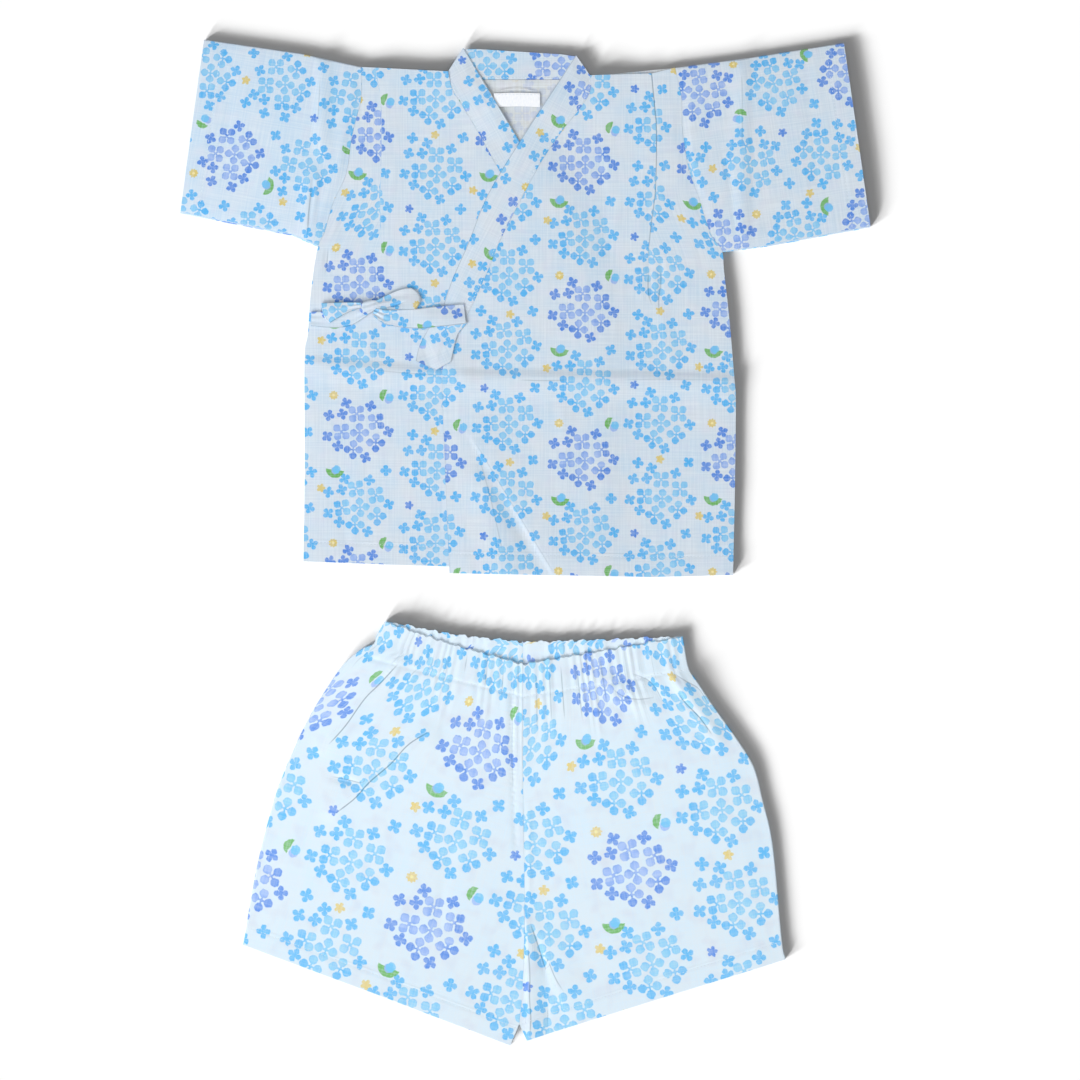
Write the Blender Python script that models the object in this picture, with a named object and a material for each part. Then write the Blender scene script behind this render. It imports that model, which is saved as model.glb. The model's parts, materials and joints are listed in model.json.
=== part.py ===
"""A child's jinbei set in printed slub cotton, laid flat: wrap jacket above, shorts below.

Lengths below are in millimetres. X runs across the garments, Y from the shorts to the neck,
and Z up from the surface that they lie on. "Right" and "left" are the wearer's own, so the
right-hand pieces lie on the -X side. Each piece is cut from tables of points along its edges,
laid on the heap of pieces under it, and given the thickness of its cloth.
"""

import math
from collections import namedtuple

import bmesh
import bpy
import numpy as np

MM = 0.001
ORIGIN = (-0.3, 1.3, 0.0)        # middle of the set's outline, on the surface it lies on

# ---------------------------------------------------------------- cloth and laying
WALL = 1.1             # one layer of cloth
BAND_WALL = 1.8        # a band is a strip folded double
CLEAR = 0.3            # between one piece and the next
SEAM = CLEAR / 2       # each side of a seam line
HOLLOW = 0.6           # air between the two walls of a sleeve or a leg at its folded edge
NOSE_STEPS = 4         # facets round a folded edge
CELL = 2.0             # grid of the heap's height map
WIDEN_CELLS = 7        # how far beyond its edge a piece keeps holding up what crosses it
SOFTEN_CELLS = 3       # how far the step down from there is smoothed
MAP_HALF = (310.0, 440.0)

GROUND = (0.86, 0.91, 0.95)      # icy white ground of the print
INSIDE = (0.72, 0.73, 0.75)      # greyish wrong side
LABEL = (0.95, 0.95, 0.95)

# ---------------------------------------------------------------- edges of the jacket
Point = namedtuple("Point", "x y")


def line(*pairs):
    """A line of named points, in order from hem to shoulder or from end to end."""
    return [Point(*pair) for pair in pairs]


SIDE_RIGHT = line((-186.6, -14.6), (-185.5, 70.6), (-185.7, 155.0), (-183.0, 176.0),
                  (-180.4, 211.0), (-175.0, 247.0))
ARMHOLE_RIGHT = line((-175.0, 247.0), (-168.5, 262.9), (-162.0, 285.6), (-151.0, 310.0),
                     (-146.5, 338.4), (-143.0, 354.5), (-138.4, 373.1), (-137.6, 400.3))
SIDE_LEFT = line((174.0, -26.0), (175.6, 46.5), (176.3, 119.4), (175.0, 140.0),
                 (171.1, 186.8), (166.5, 228.7), (164.7, 246.0))
ARMHOLE_LEFT = line((164.7, 246.0), (155.9, 258.7), (150.5, 273.8), (145.5, 290.5),
                    (137.1, 313.3), (132.9, 336.8), (131.2, 352.0), (130.5, 375.5),
                    (125.3, 399.8))

# The neck bands cross left over right. Each has a free edge and a seam with its front.
OVER_FREE = line((-71.0, 148.0), (-71.0, 180.0), (-68.7, 200.8), (-61.3, 222.9),
                 (-48.4, 252.4), (-35.4, 285.6), (-23.0, 309.0), (-4.9, 337.9),
                 (42.2, 410.3))
OVER_SEAM = line((-69.5, 148.0), (-62.2, 161.3), (-57.0, 176.7), (-42.4, 205.3),
                 (-29.5, 234.8), (-19.3, 259.2), (6.5, 309.0), (17.6, 327.9),
                 (31.5, 348.0), (47.0, 367.6), (54.5, 381.4), (54.0, 393.3))
UNDER_FREE = line((61.0, 148.0), (61.0, 180.0), (58.7, 200.8), (51.3, 222.9),
                  (38.4, 252.4), (25.4, 285.6), (13.0, 309.0), (-5.1, 337.7),
                  (-52.5, 416.5))
UNDER_SEAM = line((59.5, 148.0), (52.2, 161.3), (46.0, 176.7), (32.4, 205.3),
                  (19.5, 234.8), (9.0, 259.2), (-19.7, 309.0), (-36.4, 339.4),
                  (-54.5, 369.7), (-61.5, 381.4), (-65.2, 396.6))
OVER_EDGE = line((-64.0, -24.5), (-66.5, 30.0), (-68.7, 87.4), (-70.5, 130.0))
UNDER_EDGE = line((60.0, -23.0), (60.5, 60.0), (60.5, 130.0))

# Tucks over the shoulders, which take in the width for a smaller child.
TUCK_RIGHT = line((-118.0, -17.2), (-118.0, 100.0), (-118.3, 220.1), (-121.0, 250.0),
                  (-122.0, 286.4), (-120.8, 339.4), (-121.6, 373.0), (-126.0, 399.8))
TUCK_LEFT = line((106.0, -27.7), (104.0, 100.0), (102.5, 223.4), (104.0, 260.0),
                 (108.5, 297.4), (109.4, 345.0), (108.1, 364.6), (105.2, 394.9))
TUCK_DROP = 2.5        # width of the sharp side of a tuck
TUCK_RISE = 1.2        # its extra layers, on the neck's side of its line
TUCK_FLAT = 9.0        # how wide they lie, and over how much they then fall away
TUCK_END = (205.0, 245.0)    # it runs out between these heights

# Lines that shape the back's neck and hem.
BACK_RIGHT_NECK = line((-64.0, -19.0), (-64.0, 393.0))
BACK_RIGHT_FALL = line((-50.0, -21.0), (-50.0, 389.6))
BACK_LEFT_FALL = line((44.0, -25.5), (44.0, 389.6))
BACK_LEFT_NECK = line((56.0, -26.0), (56.0, 393.0))
NECK_SEAM = line((-62.0, 392.7), (-50.0, 389.8), (44.0, 389.8), (51.5, 392.0))
NECK_TOP = line((-53.5, 415.2), (-40.0, 415.4), (30.0, 411.0), (41.5, 409.2))

SLEEVE_RIGHT_MIDDLE = line((-196.4, 258.9), (-188.0, 411.6))
SLEEVE_RIGHT_CUFF = line((-290.0, 277.4), (-270.0, 423.4))
SLEEVE_LEFT_MIDDLE = line((203.0, 249.6), (188.3, 408.2))
SLEEVE_LEFT_CUFF = line((289.4, 265.7), (267.0, 420.6))
SLEEVE_PUFF = 0.9
ARMPIT_SHARE = 0.636   # of the height from hem to shoulder
ARMHOLE_ROWS = 11
BODY_ROWS = 11         # from hem to armpit
BAND_ROW = 7           # the row of the fronts where the neck bands end

# ---------------------------------------------------------------- edges of the shorts
CENTRE = line((-5.4, -402.8), (-2.6, -370.0), (-1.0, -303.0), (-2.4, -200.0))
FRONT_WAIST = {"centre": (-2.4, -100.2), "right": (-60.0, -84.6), "left": (60.0, -90.0)}
BACK_WAIST = {"centre": (-2.4, -82.2), "right": (-60.0, -76.0), "left": (60.0, -80.4)}
LEG_RIGHT_CORNER = (-13.0, -420.8)
LEG_LEFT_CORNER = (0.8, -416.6)
LEG_RIGHT_HEM = (-126.3, -377.3)
LEG_LEFT_HEM = (105.0, -383.6)
LEG_RIGHT_SIDE = line((-237.2, -336.3), (-226.0, -272.0), (-211.5, -215.8), (-200.3, -185.2),
                      (-184.2, -149.9), (-168.1, -122.6), (-152.0, -100.0), (-137.6, -88.0),
                      (-127.9, -83.8), (-124.5, -75.5), (-118.3, -64.7))
LEG_LEFT_SIDE = line((218.2, -348.6), (214.9, -331.0), (207.4, -253.0), (199.0, -215.0),
                     (191.5, -187.0), (177.6, -164.0), (158.3, -137.0), (143.0, -114.0),
                     (136.6, -103.5), (131.8, -77.5))
CROTCH_PLACE = 0.055   # share of the height where the two legs part
CASING = 28.0          # depth of the elastic's channel, where the gathers are full
GATHERS_FRONT = 14     # on each leg
GATHERS_BACK = 9
GATHER_RISE = 2.0
BACK_GATHER_RISE = 1.0
GATHER_FADE = 70.0     # how far below the waist the gathers run out
LEG_BODY = 1.2         # how much fuller a leg lies in its middle than at its edges
UNEVEN = 29.0          # varies how far one gather and the next run down
EDGE_COLUMNS = 4.0     # columns over which a leg flattens to its folded side

# ---------------------------------------------------------------- folds and ties
# A fold is raised along a line, and falls away over one reach on each side of it. The
# "near" side is on the left hand of someone walking from its start to its end.
Fold = namedtuple("Fold", "x0 y0 x1 y1 rise near far")

FOLD_FADE = 24.0       # length over which a fold runs out at each end

FOLDS = {
    "front_right": [Fold(-182, 152, -82, 144, 1.2, 14, 12)],
    "front_left": [Fold(-60, 144, 174, 137, 1.2, 14, 12),
                   Fold(-45, 87, 26, -27, 1.3, 45, 6)],
    "sleeve_right": [Fold(-171, 408, -172, 330, 1.3, 12, 9),
                     Fold(-178, 313, -184, 262, 1.5, 9, 12)],
    "sleeve_left": [Fold(182, 404, 182, 256, 1.3, 10, 14)],
    "leg_right": [Fold(-80, -155, -166, -226, 2.6, 26, 13),
                  Fold(-104, -98, -170, -170, 2.2, 14, 18)],
    "leg_left": [Fold(128, -109, 166, -166, 2.2, 18, 14),
                 Fold(58, -112, 102, -136, 1.4, 14, 14),
                 Fold(4, -318, 6, -412, 2.2, 26, 7)],
}

Strip = namedtuple("Strip", "x y half")

TIE_SIDE = [Strip(-180.0, 189.0, 6.0), Strip(-165.0, 188.5, 7.0),
            Strip(-150.0, 190.0, 7.5), Strip(-138.0, 194.5, 5.5), Strip(-131.0, 198.0, 4.0)]
TIE_FRONT = [Strip(-127.5, 195.6, 4.0), Strip(-115.0, 190.5, 6.5),
             Strip(-93.0, 188.8, 8.0), Strip(-72.0, 190.4, 8.4), Strip(-51.0, 192.8, 8.4)]
LOOP_RIGHT = [Strip(-139.4, 199.8, 3.2), Strip(-150.0, 197.8, 5.4),
              Strip(-160.0, 195.2, 7.6), Strip(-169.5, 192.5, 9.4)]
LOOP_LEFT = [Strip(-124.4, 200.6, 4.4), Strip(-114.0, 203.6, 6.4),
             Strip(-101.0, 206.6, 9.0), Strip(-89.5, 207.0, 8.8)]
TAIL = {"left": line((-92.5, 157.0), (-90.0, 165.0), (-86.0, 178.0), (-82.5, 187.6)),
        "middle": line((-80.0, 147.6), (-77.0, 164.0), (-71.0, 176.0), (-65.4, 187.0)),
        "right": line((-65.0, 147.0), (-62.6, 163.0), (-55.8, 176.4), (-48.2, 186.2))}
KNOT = {"centre": (-131.9, 199.6), "half": (6.4, 6.0), "thick": 3.0, "rise": 2.4}
LABEL_CORNERS = ((-27.0, 366.6), (12.0, 378.0))
LOOP_PUFF = 2.2


# ---------------------------------------------------------------- lines and lofts
def smooth(value):
    """A ramp that starts and ends level, from 0 to 1."""
    value = np.clip(value, 0.0, 1.0)
    return value * value * (3.0 - 2.0 * value)


def curve(points, count=600):
    """A Catmull-Rom curve through the points, as many (x, y) rows as asked for."""
    knots = np.array([tuple(point)[:2] for point in points], float)
    padded = np.vstack([2 * knots[0] - knots[1], knots, 2 * knots[-1] - knots[-2]])
    place = np.linspace(0.0, len(knots) - 1.0, count)
    span = np.minimum(place.astype(int), len(knots) - 2)
    t = (place - span)[:, None]
    p0, p1, p2, p3 = (padded[span + step] for step in range(4))
    return 0.5 * (2 * p1 + (p2 - p0) * t + (2 * p0 - 5 * p1 + 4 * p2 - p3) * t ** 2
                  + (3 * p1 - p0 - 3 * p2 + p3) * t ** 3)


def rungs(points, places):
    """Points on a line that climbs in y, at the given shares of its height."""
    path = curve(points)
    level = path[0, 1] + (path[-1, 1] - path[0, 1]) * places
    order = np.argsort(path[:, 1])
    return np.stack([np.interp(level, path[order, 1], path[order, 0]), level], axis=1)


def moved(points, dx):
    if isinstance(points, np.ndarray):
        return points + np.array([dx, 0.0])
    return [Point(point[0] + dx, point[1]) for point in points]


def joined(*lines):
    """Lines end to end, with a shared end point taken once."""
    result = list(lines[0])
    for more in lines[1:]:
        result += [point for point in more if tuple(point) != tuple(result[-1])]
    return result


def body_places(below):
    """Shares of a body piece's height: rows up to the armpit, then rows up the armhole."""
    low = np.linspace(0.0, ARMPIT_SHARE, below + 1)
    return np.concatenate([low, np.linspace(ARMPIT_SHARE, 1.0, ARMHOLE_ROWS + 1)[1:]])


def band_places(places):
    """The same rows as shares of a neck band's own height."""
    return (places[BAND_ROW:] - places[BAND_ROW]) / (1.0 - places[BAND_ROW])


def loft(lines, columns, places):
    """Rows and columns of (x, y) points, in straight steps from each line to the next.

    A line is either points to curve through, or an array with a point for each row.
    """
    rails = [points if isinstance(points, np.ndarray) else rungs(points, places)
             for points in lines]
    parts = []
    for first, second, count in zip(rails, rails[1:], columns):
        share = np.linspace(0.0, 1.0, count + 1)[None, :, None]
        part = first[:, None, :] * (1.0 - share) + second[:, None, :] * share
        parts.append(part if not parts else part[:, 1:])
    return np.concatenate(parts, axis=1)


def strip_plan(sections, rows, columns=3):
    """The plan of a strip that follows a middle line with a half width at each section."""
    middle = curve(sections, rows)
    half = curve([(index, section.half) for index, section in enumerate(sections)], rows)[:, 1]
    run = np.gradient(middle, axis=0)
    run /= np.linalg.norm(run, axis=1)[:, None]
    across = np.stack([-run[:, 1], run[:, 0]], axis=1)
    offset = np.linspace(-1.0, 1.0, columns + 1)[None, :, None]
    return middle[:, None, :] + across[:, None, :] * half[:, None, None] * offset


# ---------------------------------------------------------------- heights
def relief(plan, folds):
    """Height added by the folds at each point of a plan."""
    height = np.zeros(plan.shape[:2])
    for fold in folds:
        start = np.array([fold.x0, fold.y0], float)
        run = np.array([fold.x1, fold.y1], float) - start
        length = np.linalg.norm(run)
        run /= length
        along = (plan - start) @ run
        side = (plan - start) @ np.array([-run[1], run[0]])
        reach = np.where(side > 0.0, fold.near, fold.far)
        start_fade = smooth(along / FOLD_FADE + 0.5)
        end_fade = smooth((length - along) / FOLD_FADE + 0.5)
        profile = fold.rise * (1.0 - smooth(np.abs(side) / reach))
        height = np.maximum(height, profile * start_fade * end_fade)
    return height


def tuck_height(plan, tuck, inward):
    """A tuck's extra layers, full at its line and gone a little way towards the neck."""
    path = curve(tuck)
    line_x = np.interp(plan[..., 1], path[:, 1], path[:, 0])
    side = (plan[..., 0] - line_x) * inward
    layers = np.where(side >= -0.01, 1.0 - smooth((side - TUCK_FLAT) / TUCK_FLAT), 0.0)
    low, high = TUCK_END
    return TUCK_RISE * layers * smooth((plan[..., 1] - low) / (high - low))


def cells_within(radius):
    """Steps to all the cells in a disc."""
    reach = range(-radius, radius + 1)
    return [(dx, dy) for dx in reach for dy in reach if dx * dx + dy * dy <= radius * radius]


class Heap:
    """A height map of what already lies on the surface, with the clearance on top."""

    def __init__(self):
        self.size = [int(2 * half / CELL) + 1 for half in MAP_HALF]
        self.level = np.zeros(self.size)

    def under(self, plan):
        """How high a cloth laid here has to start: steps are widened, then smoothed."""
        wide = np.max([np.roll(self.level, step, axis=(0, 1))
                       for step in cells_within(WIDEN_CELLS)], axis=0)
        soft = np.mean([np.roll(wide, step, axis=(0, 1))
                        for step in cells_within(SOFTEN_CELLS)], axis=0)
        spot = [(plan[..., axis] + MAP_HALF[axis]) / CELL for axis in (0, 1)]
        low = [np.clip(value.astype(int), 0, size - 2) for value, size in zip(spot, self.size)]
        fx, fy = spot[0] - low[0], spot[1] - low[1]
        ix, iy = low
        return ((soft[ix, iy] * (1 - fx) + soft[ix + 1, iy] * fx) * (1 - fy)
                + (soft[ix, iy + 1] * (1 - fx) + soft[ix + 1, iy + 1] * fx) * fy)

    def cover(self, *surfaces):
        """Add pieces' upper surfaces to the map, once all that lie side by side are laid."""
        for surface in surfaces:
            self.cover_one(surface)

    def cover_one(self, grid):
        for axis in (0, 1):
            step = np.abs(np.diff(grid[..., :2], axis=axis)).max()
            count = (grid.shape[axis] - 1) * int(math.ceil(step / (0.6 * CELL))) + 1
            place = np.linspace(0, grid.shape[axis] - 1, count)
            low = np.minimum(place.astype(int), grid.shape[axis] - 2)
            share = (place - low)[:, None, None] if axis == 0 else (place - low)[None, :, None]
            grid = (np.take(grid, low, axis) * (1 - share)
                    + np.take(grid, low + 1, axis) * share)
        ix = np.clip(np.rint((grid[..., 0] + MAP_HALF[0]) / CELL).astype(int), 0,
                     self.size[0] - 1)
        iy = np.clip(np.rint((grid[..., 1] + MAP_HALF[1]) / CELL).astype(int), 0,
                     self.size[1] - 1)
        np.maximum.at(self.level, (ix, iy), grid[..., 2] + CLEAR)


# ---------------------------------------------------------------- solids
def material(name, colour):
    cloth = bpy.data.materials.new(name)
    cloth.use_nodes = True
    shader = cloth.node_tree.nodes["Principled BSDF"]
    shader.inputs["Base Color"].default_value = (*colour, 1.0)
    shader.inputs["Roughness"].default_value = 0.9
    shader.inputs["Metallic"].default_value = 0.0
    return cloth


def wall(name, outer, inner, collection, colour=GROUND, tube=False):
    """A closed wall of cloth: a grid bent onto its outer points, extruded to its inner ones."""
    rows, columns = outer.shape[:2]
    bm = bmesh.new()
    bmesh.ops.create_grid(bm, x_segments=columns - 1, y_segments=rows - 1, size=1.0)
    place = bm.verts.layers.int.new("place")
    bm.verts.ensure_lookup_table()
    outside = (outer.reshape(-1, 3) - ORIGIN) * MM
    inside = (inner.reshape(-1, 3) - ORIGIN) * MM
    for index, vert in enumerate(bm.verts):
        vert[place] = index
        vert.co = outside[index]
    if tube:
        bmesh.ops.remove_doubles(bm, verts=bm.verts[:], dist=1e-7)
    grown = bmesh.ops.extrude_face_region(bm, geom=bm.faces[:])["geom"]
    for vert in (item for item in grown if isinstance(item, bmesh.types.BMVert)):
        vert.co = inside[vert[place]]
    bmesh.ops.recalc_face_normals(bm, faces=bm.faces[:])
    mesh = bpy.data.meshes.new(name)
    bm.to_mesh(mesh)
    bm.free()
    mesh.shade_smooth()
    mesh.set_sharp_from_angle(angle=math.radians(40.0))
    piece = bpy.data.objects.new(name, mesh)
    piece.data.materials.append(material(name + "_cloth", colour))
    collection.objects.link(piece)
    return piece


def lay(name, plan, heap, collection, thickness=WALL, added=0.0, colour=GROUND):
    """A flat piece laid on the heap: its underside follows what is beneath it."""
    low = heap.under(plan)
    high = low + thickness + added
    outer = np.concatenate([plan, high[..., None]], axis=2)
    inner = np.concatenate([plan, low[..., None]], axis=2)
    wall(name, outer, inner, collection, colour)
    return outer


def folded_ring(front, back, top, floor, closed):
    """Outer and inner points of cloth folded flat on itself along its last column.

    front and back are plans whose last columns lie on the fold; closed adds a fold along
    the first column too. The fold is half a circle as high as the two walls together.
    """
    radius = (2 * WALL + HOLLOW) / 2

    def pulled(plan):
        """The plan with its folded edges drawn in by the fold's radius."""
        plan = plan.copy()
        for edge, inward in ((-1, -2), (0, 1)) if closed else ((-1, -2),):
            run = plan[:, inward] - plan[:, edge]
            plan[:, edge] += radius * run / np.linalg.norm(run, axis=1)[:, None]
        return plan

    def nose(plan, edge, size, low):
        """Points round a fold, from its top to its bottom."""
        angles = np.linspace(math.pi / 2, -math.pi / 2, NOSE_STEPS + 1)[1:-1]
        drawn = pulled(plan)[:, edge]
        out = plan[:, edge] - drawn
        out /= np.linalg.norm(out, axis=1)[:, None]
        flat = drawn[:, None, :] + out[:, None, :] * (size * np.cos(angles))[None, :, None]
        level = low[:, None] + radius + size * np.sin(angles)[None, :]
        return np.concatenate([flat, level[..., None]], axis=2)

    def surface(inset):
        size = radius - inset
        upper = np.concatenate([pulled(front), (top - inset)[..., None]], axis=2)
        lower = np.concatenate([pulled(back), (floor + inset)[..., None]], axis=2)[:, ::-1]
        parts = [upper, nose(front, -1, size, floor[:, -1]), lower]
        if closed:
            parts += [nose(front, 0, size, floor[:, 0])[:, ::-1], upper[:, :1]]
        return np.concatenate(parts, axis=1)

    return surface(0.0), surface(WALL)


# ---------------------------------------------------------------- jacket
def make_jacket(collection, heap):
    side_right = joined(SIDE_RIGHT, ARMHOLE_RIGHT)
    side_left = joined(SIDE_LEFT, ARMHOLE_LEFT)

    plan = loft([moved(side_right, SEAM), BACK_RIGHT_NECK, BACK_RIGHT_FALL, BACK_LEFT_FALL,
                 BACK_LEFT_NECK, moved(side_left, -SEAM)], (4, 1, 4, 1, 4), body_places(4))
    back = lay("back", plan, heap, collection, colour=INSIDE)

    plan = loft([(NECK_SEAM[0], NECK_TOP[0]), (NECK_SEAM[1], NECK_TOP[1]),
                 (NECK_SEAM[2], NECK_TOP[2]), (NECK_SEAM[3], NECK_TOP[3])], (1, 5, 1),
                np.linspace(0.0, 1.0, 4))
    band = lay("band_back", plan + np.array([0.0, SEAM]), heap, collection, BAND_WALL)
    heap.cover(back, band)

    (left, bottom), (right, top) = LABEL_CORNERS
    plan = loft([line((left, bottom), (left, top)), line((right, bottom), (right, top))],
                (4,), np.linspace(0.0, 1.0, 3))
    heap.cover(lay("label", plan, heap, collection, colour=LABEL))

    front_edge = joined(UNDER_EDGE, UNDER_SEAM)
    tuck_step = moved(TUCK_RIGHT, -TUCK_DROP)
    places = body_places(BODY_ROWS)
    plan = loft([moved(side_right, SEAM), tuck_step, TUCK_RIGHT, moved(front_edge, -SEAM)],
                (4, 1, 9), places)
    added = tuck_height(plan, TUCK_RIGHT, 1.0) + relief(plan, FOLDS["front_right"])
    front = lay("front_right", plan, heap, collection, added=added)

    seam = rungs(front_edge, places[BAND_ROW:])
    plan = loft([moved(seam, SEAM), UNDER_FREE], (3,), band_places(places))
    heap.cover(front, lay("band_right", plan, heap, collection, BAND_WALL))

    front_edge = joined(OVER_EDGE, OVER_SEAM)
    tuck_step = moved(TUCK_LEFT, TUCK_DROP)
    plan = loft([moved(front_edge, SEAM), TUCK_LEFT, tuck_step, moved(side_left, -SEAM)],
                (13, 1, 4), places)
    added = tuck_height(plan, TUCK_LEFT, -1.0) + relief(plan, FOLDS["front_left"])
    front = lay("front_left", plan, heap, collection, added=added)

    seam = rungs(front_edge, places[BAND_ROW:])
    plan = loft([OVER_FREE, moved(seam, -SEAM)], (3,), band_places(places))
    heap.cover(front, lay("band_left", plan, heap, collection, BAND_WALL))

    sleeves = (("sleeve_right", side_right, SLEEVE_RIGHT_MIDDLE, SLEEVE_RIGHT_CUFF, -SEAM),
               ("sleeve_left", side_left, SLEEVE_LEFT_MIDDLE, SLEEVE_LEFT_CUFF, SEAM))
    for name, side, middle, cuff, shift in sleeves:
        armhole = rungs(side, body_places(1)[1:])[::-1]
        plan = loft([moved(armhole, shift), middle, cuff], (4, 4),
                    np.linspace(1.0, 0.0, ARMHOLE_ROWS + 1))
        plan = plan.transpose(1, 0, 2)
        across = np.linspace(0.0, 1.0, plan.shape[1])[None, :]
        puff = SLEEVE_PUFF * np.sin(math.pi * across) ** 0.7
        top = 2 * WALL + HOLLOW + puff + relief(plan, FOLDS[name])
        outer, inner = folded_ring(plan, plan, top, np.zeros_like(top), closed=True)
        wall(name, outer, inner, collection, tube=True)


# ---------------------------------------------------------------- bow at the waist
def make_ties(collection, heap):
    heap.cover(lay("tie_side", strip_plan(TIE_SIDE, 9, 2), heap, collection),
               lay("tie_front", strip_plan(TIE_FRONT, 12, 2), heap, collection))

    share = np.linspace(-1.0, 1.0, 7)
    u, v = np.meshgrid(share, share)
    round_u, round_v = u * np.sqrt(1 - v * v / 2), v * np.sqrt(1 - u * u / 2)
    plan = np.stack([KNOT["centre"][0] + KNOT["half"][0] * round_u,
                     KNOT["centre"][1] + KNOT["half"][1] * round_v], axis=2)
    dome = KNOT["rise"] * np.sqrt(np.clip(1.0 - round_u ** 2 - round_v ** 2, 0.0, 1.0))
    knot = lay("bow_knot", plan, heap, collection, KNOT["thick"], dome)

    loops = []
    for name, sections in (("bow_loop_right", LOOP_RIGHT), ("bow_loop_left", LOOP_LEFT)):
        plan = strip_plan(sections, 8, 4).transpose(1, 0, 2)
        floor = heap.under(plan)
        along = np.linspace(0.0, 1.0, plan.shape[1])[None, :]
        top = floor + 2 * WALL + HOLLOW + LOOP_PUFF * np.sin(math.pi * along ** 1.5)
        outer, inner = folded_ring(plan, plan, top, floor, closed=False)
        wall(name, outer, inner, collection)
        loops.append(np.concatenate([plan, top[..., None]], axis=2))
    heap.cover(knot, *loops)

    plan = loft([TAIL["left"], TAIL["middle"], TAIL["right"]], (2, 2),
                np.linspace(0.0, 1.0, 7))
    heap.cover(lay("tie_end", plan, heap, collection))


# ---------------------------------------------------------------- shorts
def gather_wave(plan, waist_y, count, columns):
    """Ripples that run down from the waist: an uneven wave across, fading downwards."""
    share = np.linspace(0.0, 1.0, columns)[None, :]
    wave = 0.5 - 0.5 * np.cos(2 * math.pi * count * share)
    depth = waist_y[None, :] - plan[..., 1]
    reach = GATHER_FADE * (0.75 + 0.25 * np.sin(UNEVEN * share))
    return wave * (1.0 - smooth((depth - CASING) / reach))


def flattened(columns):
    """A share for each column, which falls to nothing at the folded side."""
    return smooth(np.arange(columns - 1, -1, -1) / EDGE_COLUMNS)[None, :]


def make_leg(name, hand, corner, hem, side, seam, collection):
    """One leg, cut in one piece with its front and back, folded flat along its outer side."""
    places = np.concatenate([[0.0], np.linspace(CROTCH_PLACE, 0.72, 7),
                             np.linspace(0.79, 1.0, 5)])
    walls = []
    for waist, count in ((FRONT_WAIST, GATHERS_FRONT), (BACK_WAIST, GATHERS_BACK)):
        above = (places[1:] - CROTCH_PLACE) / (1.0 - CROTCH_PLACE)
        centre = np.vstack([corner, rungs(CENTRE + line(waist["centre"]), above)])
        columns = 2 * count
        plan = loft([moved(centre, seam), line(hem, waist[hand]), side],
                    (columns, columns), places)
        wave = gather_wave(plan, plan[-1, :, 1], count, plan.shape[1])
        walls.append((plan, wave))
    (front, front_wave), (back, back_wave) = walls
    depth = front[-1, :, 1][None, :] - front[..., 1]
    lift = BACK_GATHER_RISE * (1.0 - smooth(depth / (1.6 * GATHER_FADE)))
    body = LEG_BODY * np.sin(math.pi * np.linspace(0.0, 1.0, front.shape[1]))[None, :]
    fuller = lift + GATHER_RISE * front_wave + body + relief(front, FOLDS[name])
    top = 2 * WALL + HOLLOW + fuller * flattened(front.shape[1])
    outer, inner = folded_ring(front, back, top, np.zeros(back.shape[:2]), closed=False)

    # The back lies flat below, and its gathers stand up on the side that shows inside.
    ripples = BACK_GATHER_RISE * back_wave * flattened(back.shape[1])
    inner[:, -back.shape[1]:, 2] += ripples[:, ::-1]
    wall(name, outer, inner, collection)


def build():
    for item in list(bpy.data.objects):
        bpy.data.objects.remove(item, do_unlink=True)
    collection = bpy.data.collections.new("jinbei_set")
    bpy.context.scene.collection.children.link(collection)
    heap = Heap()
    make_jacket(collection, heap)
    make_ties(collection, heap)
    make_leg("leg_right", "right", LEG_RIGHT_CORNER, LEG_RIGHT_HEM, LEG_RIGHT_SIDE, -SEAM,
             collection)
    make_leg("leg_left", "left", LEG_LEFT_CORNER, LEG_LEFT_HEM, LEG_LEFT_SIDE, SEAM,
             collection)


build()
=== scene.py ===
# %% [markdown]
# # A child's jinbei set, laid flat
#
# A jinbei is a light summer set: a jacket that wraps left over right and ties at the side,
# and shorts on an elastic waist. This one is sewn from slub cotton, a cloth whose yarn is
# thick and thin by turns, printed with heads of hydrangea. Both garments lie on a pale floor
# and are seen from straight above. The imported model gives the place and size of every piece.
# Each piece is made again here in thin cloth, with its hems, creases and gathers, at the same
# place. Lengths are in millimetres until a mesh is made, and metres after that.

# %% The frame
import json
import math
from collections import namedtuple

import bpy
import numpy as np
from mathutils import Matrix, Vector

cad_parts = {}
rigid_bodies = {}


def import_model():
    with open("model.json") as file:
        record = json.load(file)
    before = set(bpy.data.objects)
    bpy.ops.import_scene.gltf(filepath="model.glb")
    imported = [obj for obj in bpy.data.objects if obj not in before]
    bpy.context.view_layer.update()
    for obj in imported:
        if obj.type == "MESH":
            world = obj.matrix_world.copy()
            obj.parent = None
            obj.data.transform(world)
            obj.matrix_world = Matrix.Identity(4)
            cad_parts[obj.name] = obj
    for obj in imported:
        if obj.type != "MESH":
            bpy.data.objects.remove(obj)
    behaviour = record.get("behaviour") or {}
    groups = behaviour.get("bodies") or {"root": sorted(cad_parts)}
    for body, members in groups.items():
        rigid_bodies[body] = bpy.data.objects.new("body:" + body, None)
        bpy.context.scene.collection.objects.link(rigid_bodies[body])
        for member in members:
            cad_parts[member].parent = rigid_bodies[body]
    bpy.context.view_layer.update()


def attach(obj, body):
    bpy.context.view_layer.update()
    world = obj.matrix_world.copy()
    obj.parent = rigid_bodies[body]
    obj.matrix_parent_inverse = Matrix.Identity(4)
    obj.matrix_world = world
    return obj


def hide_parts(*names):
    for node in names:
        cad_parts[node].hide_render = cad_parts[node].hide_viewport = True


for leftover in list(bpy.data.objects):
    bpy.data.objects.remove(leftover, do_unlink=True)

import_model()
MM = 0.001
ORIGIN = (-0.3, 1.3, 0.0)      # middle of the set's outline, on the floor


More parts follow.
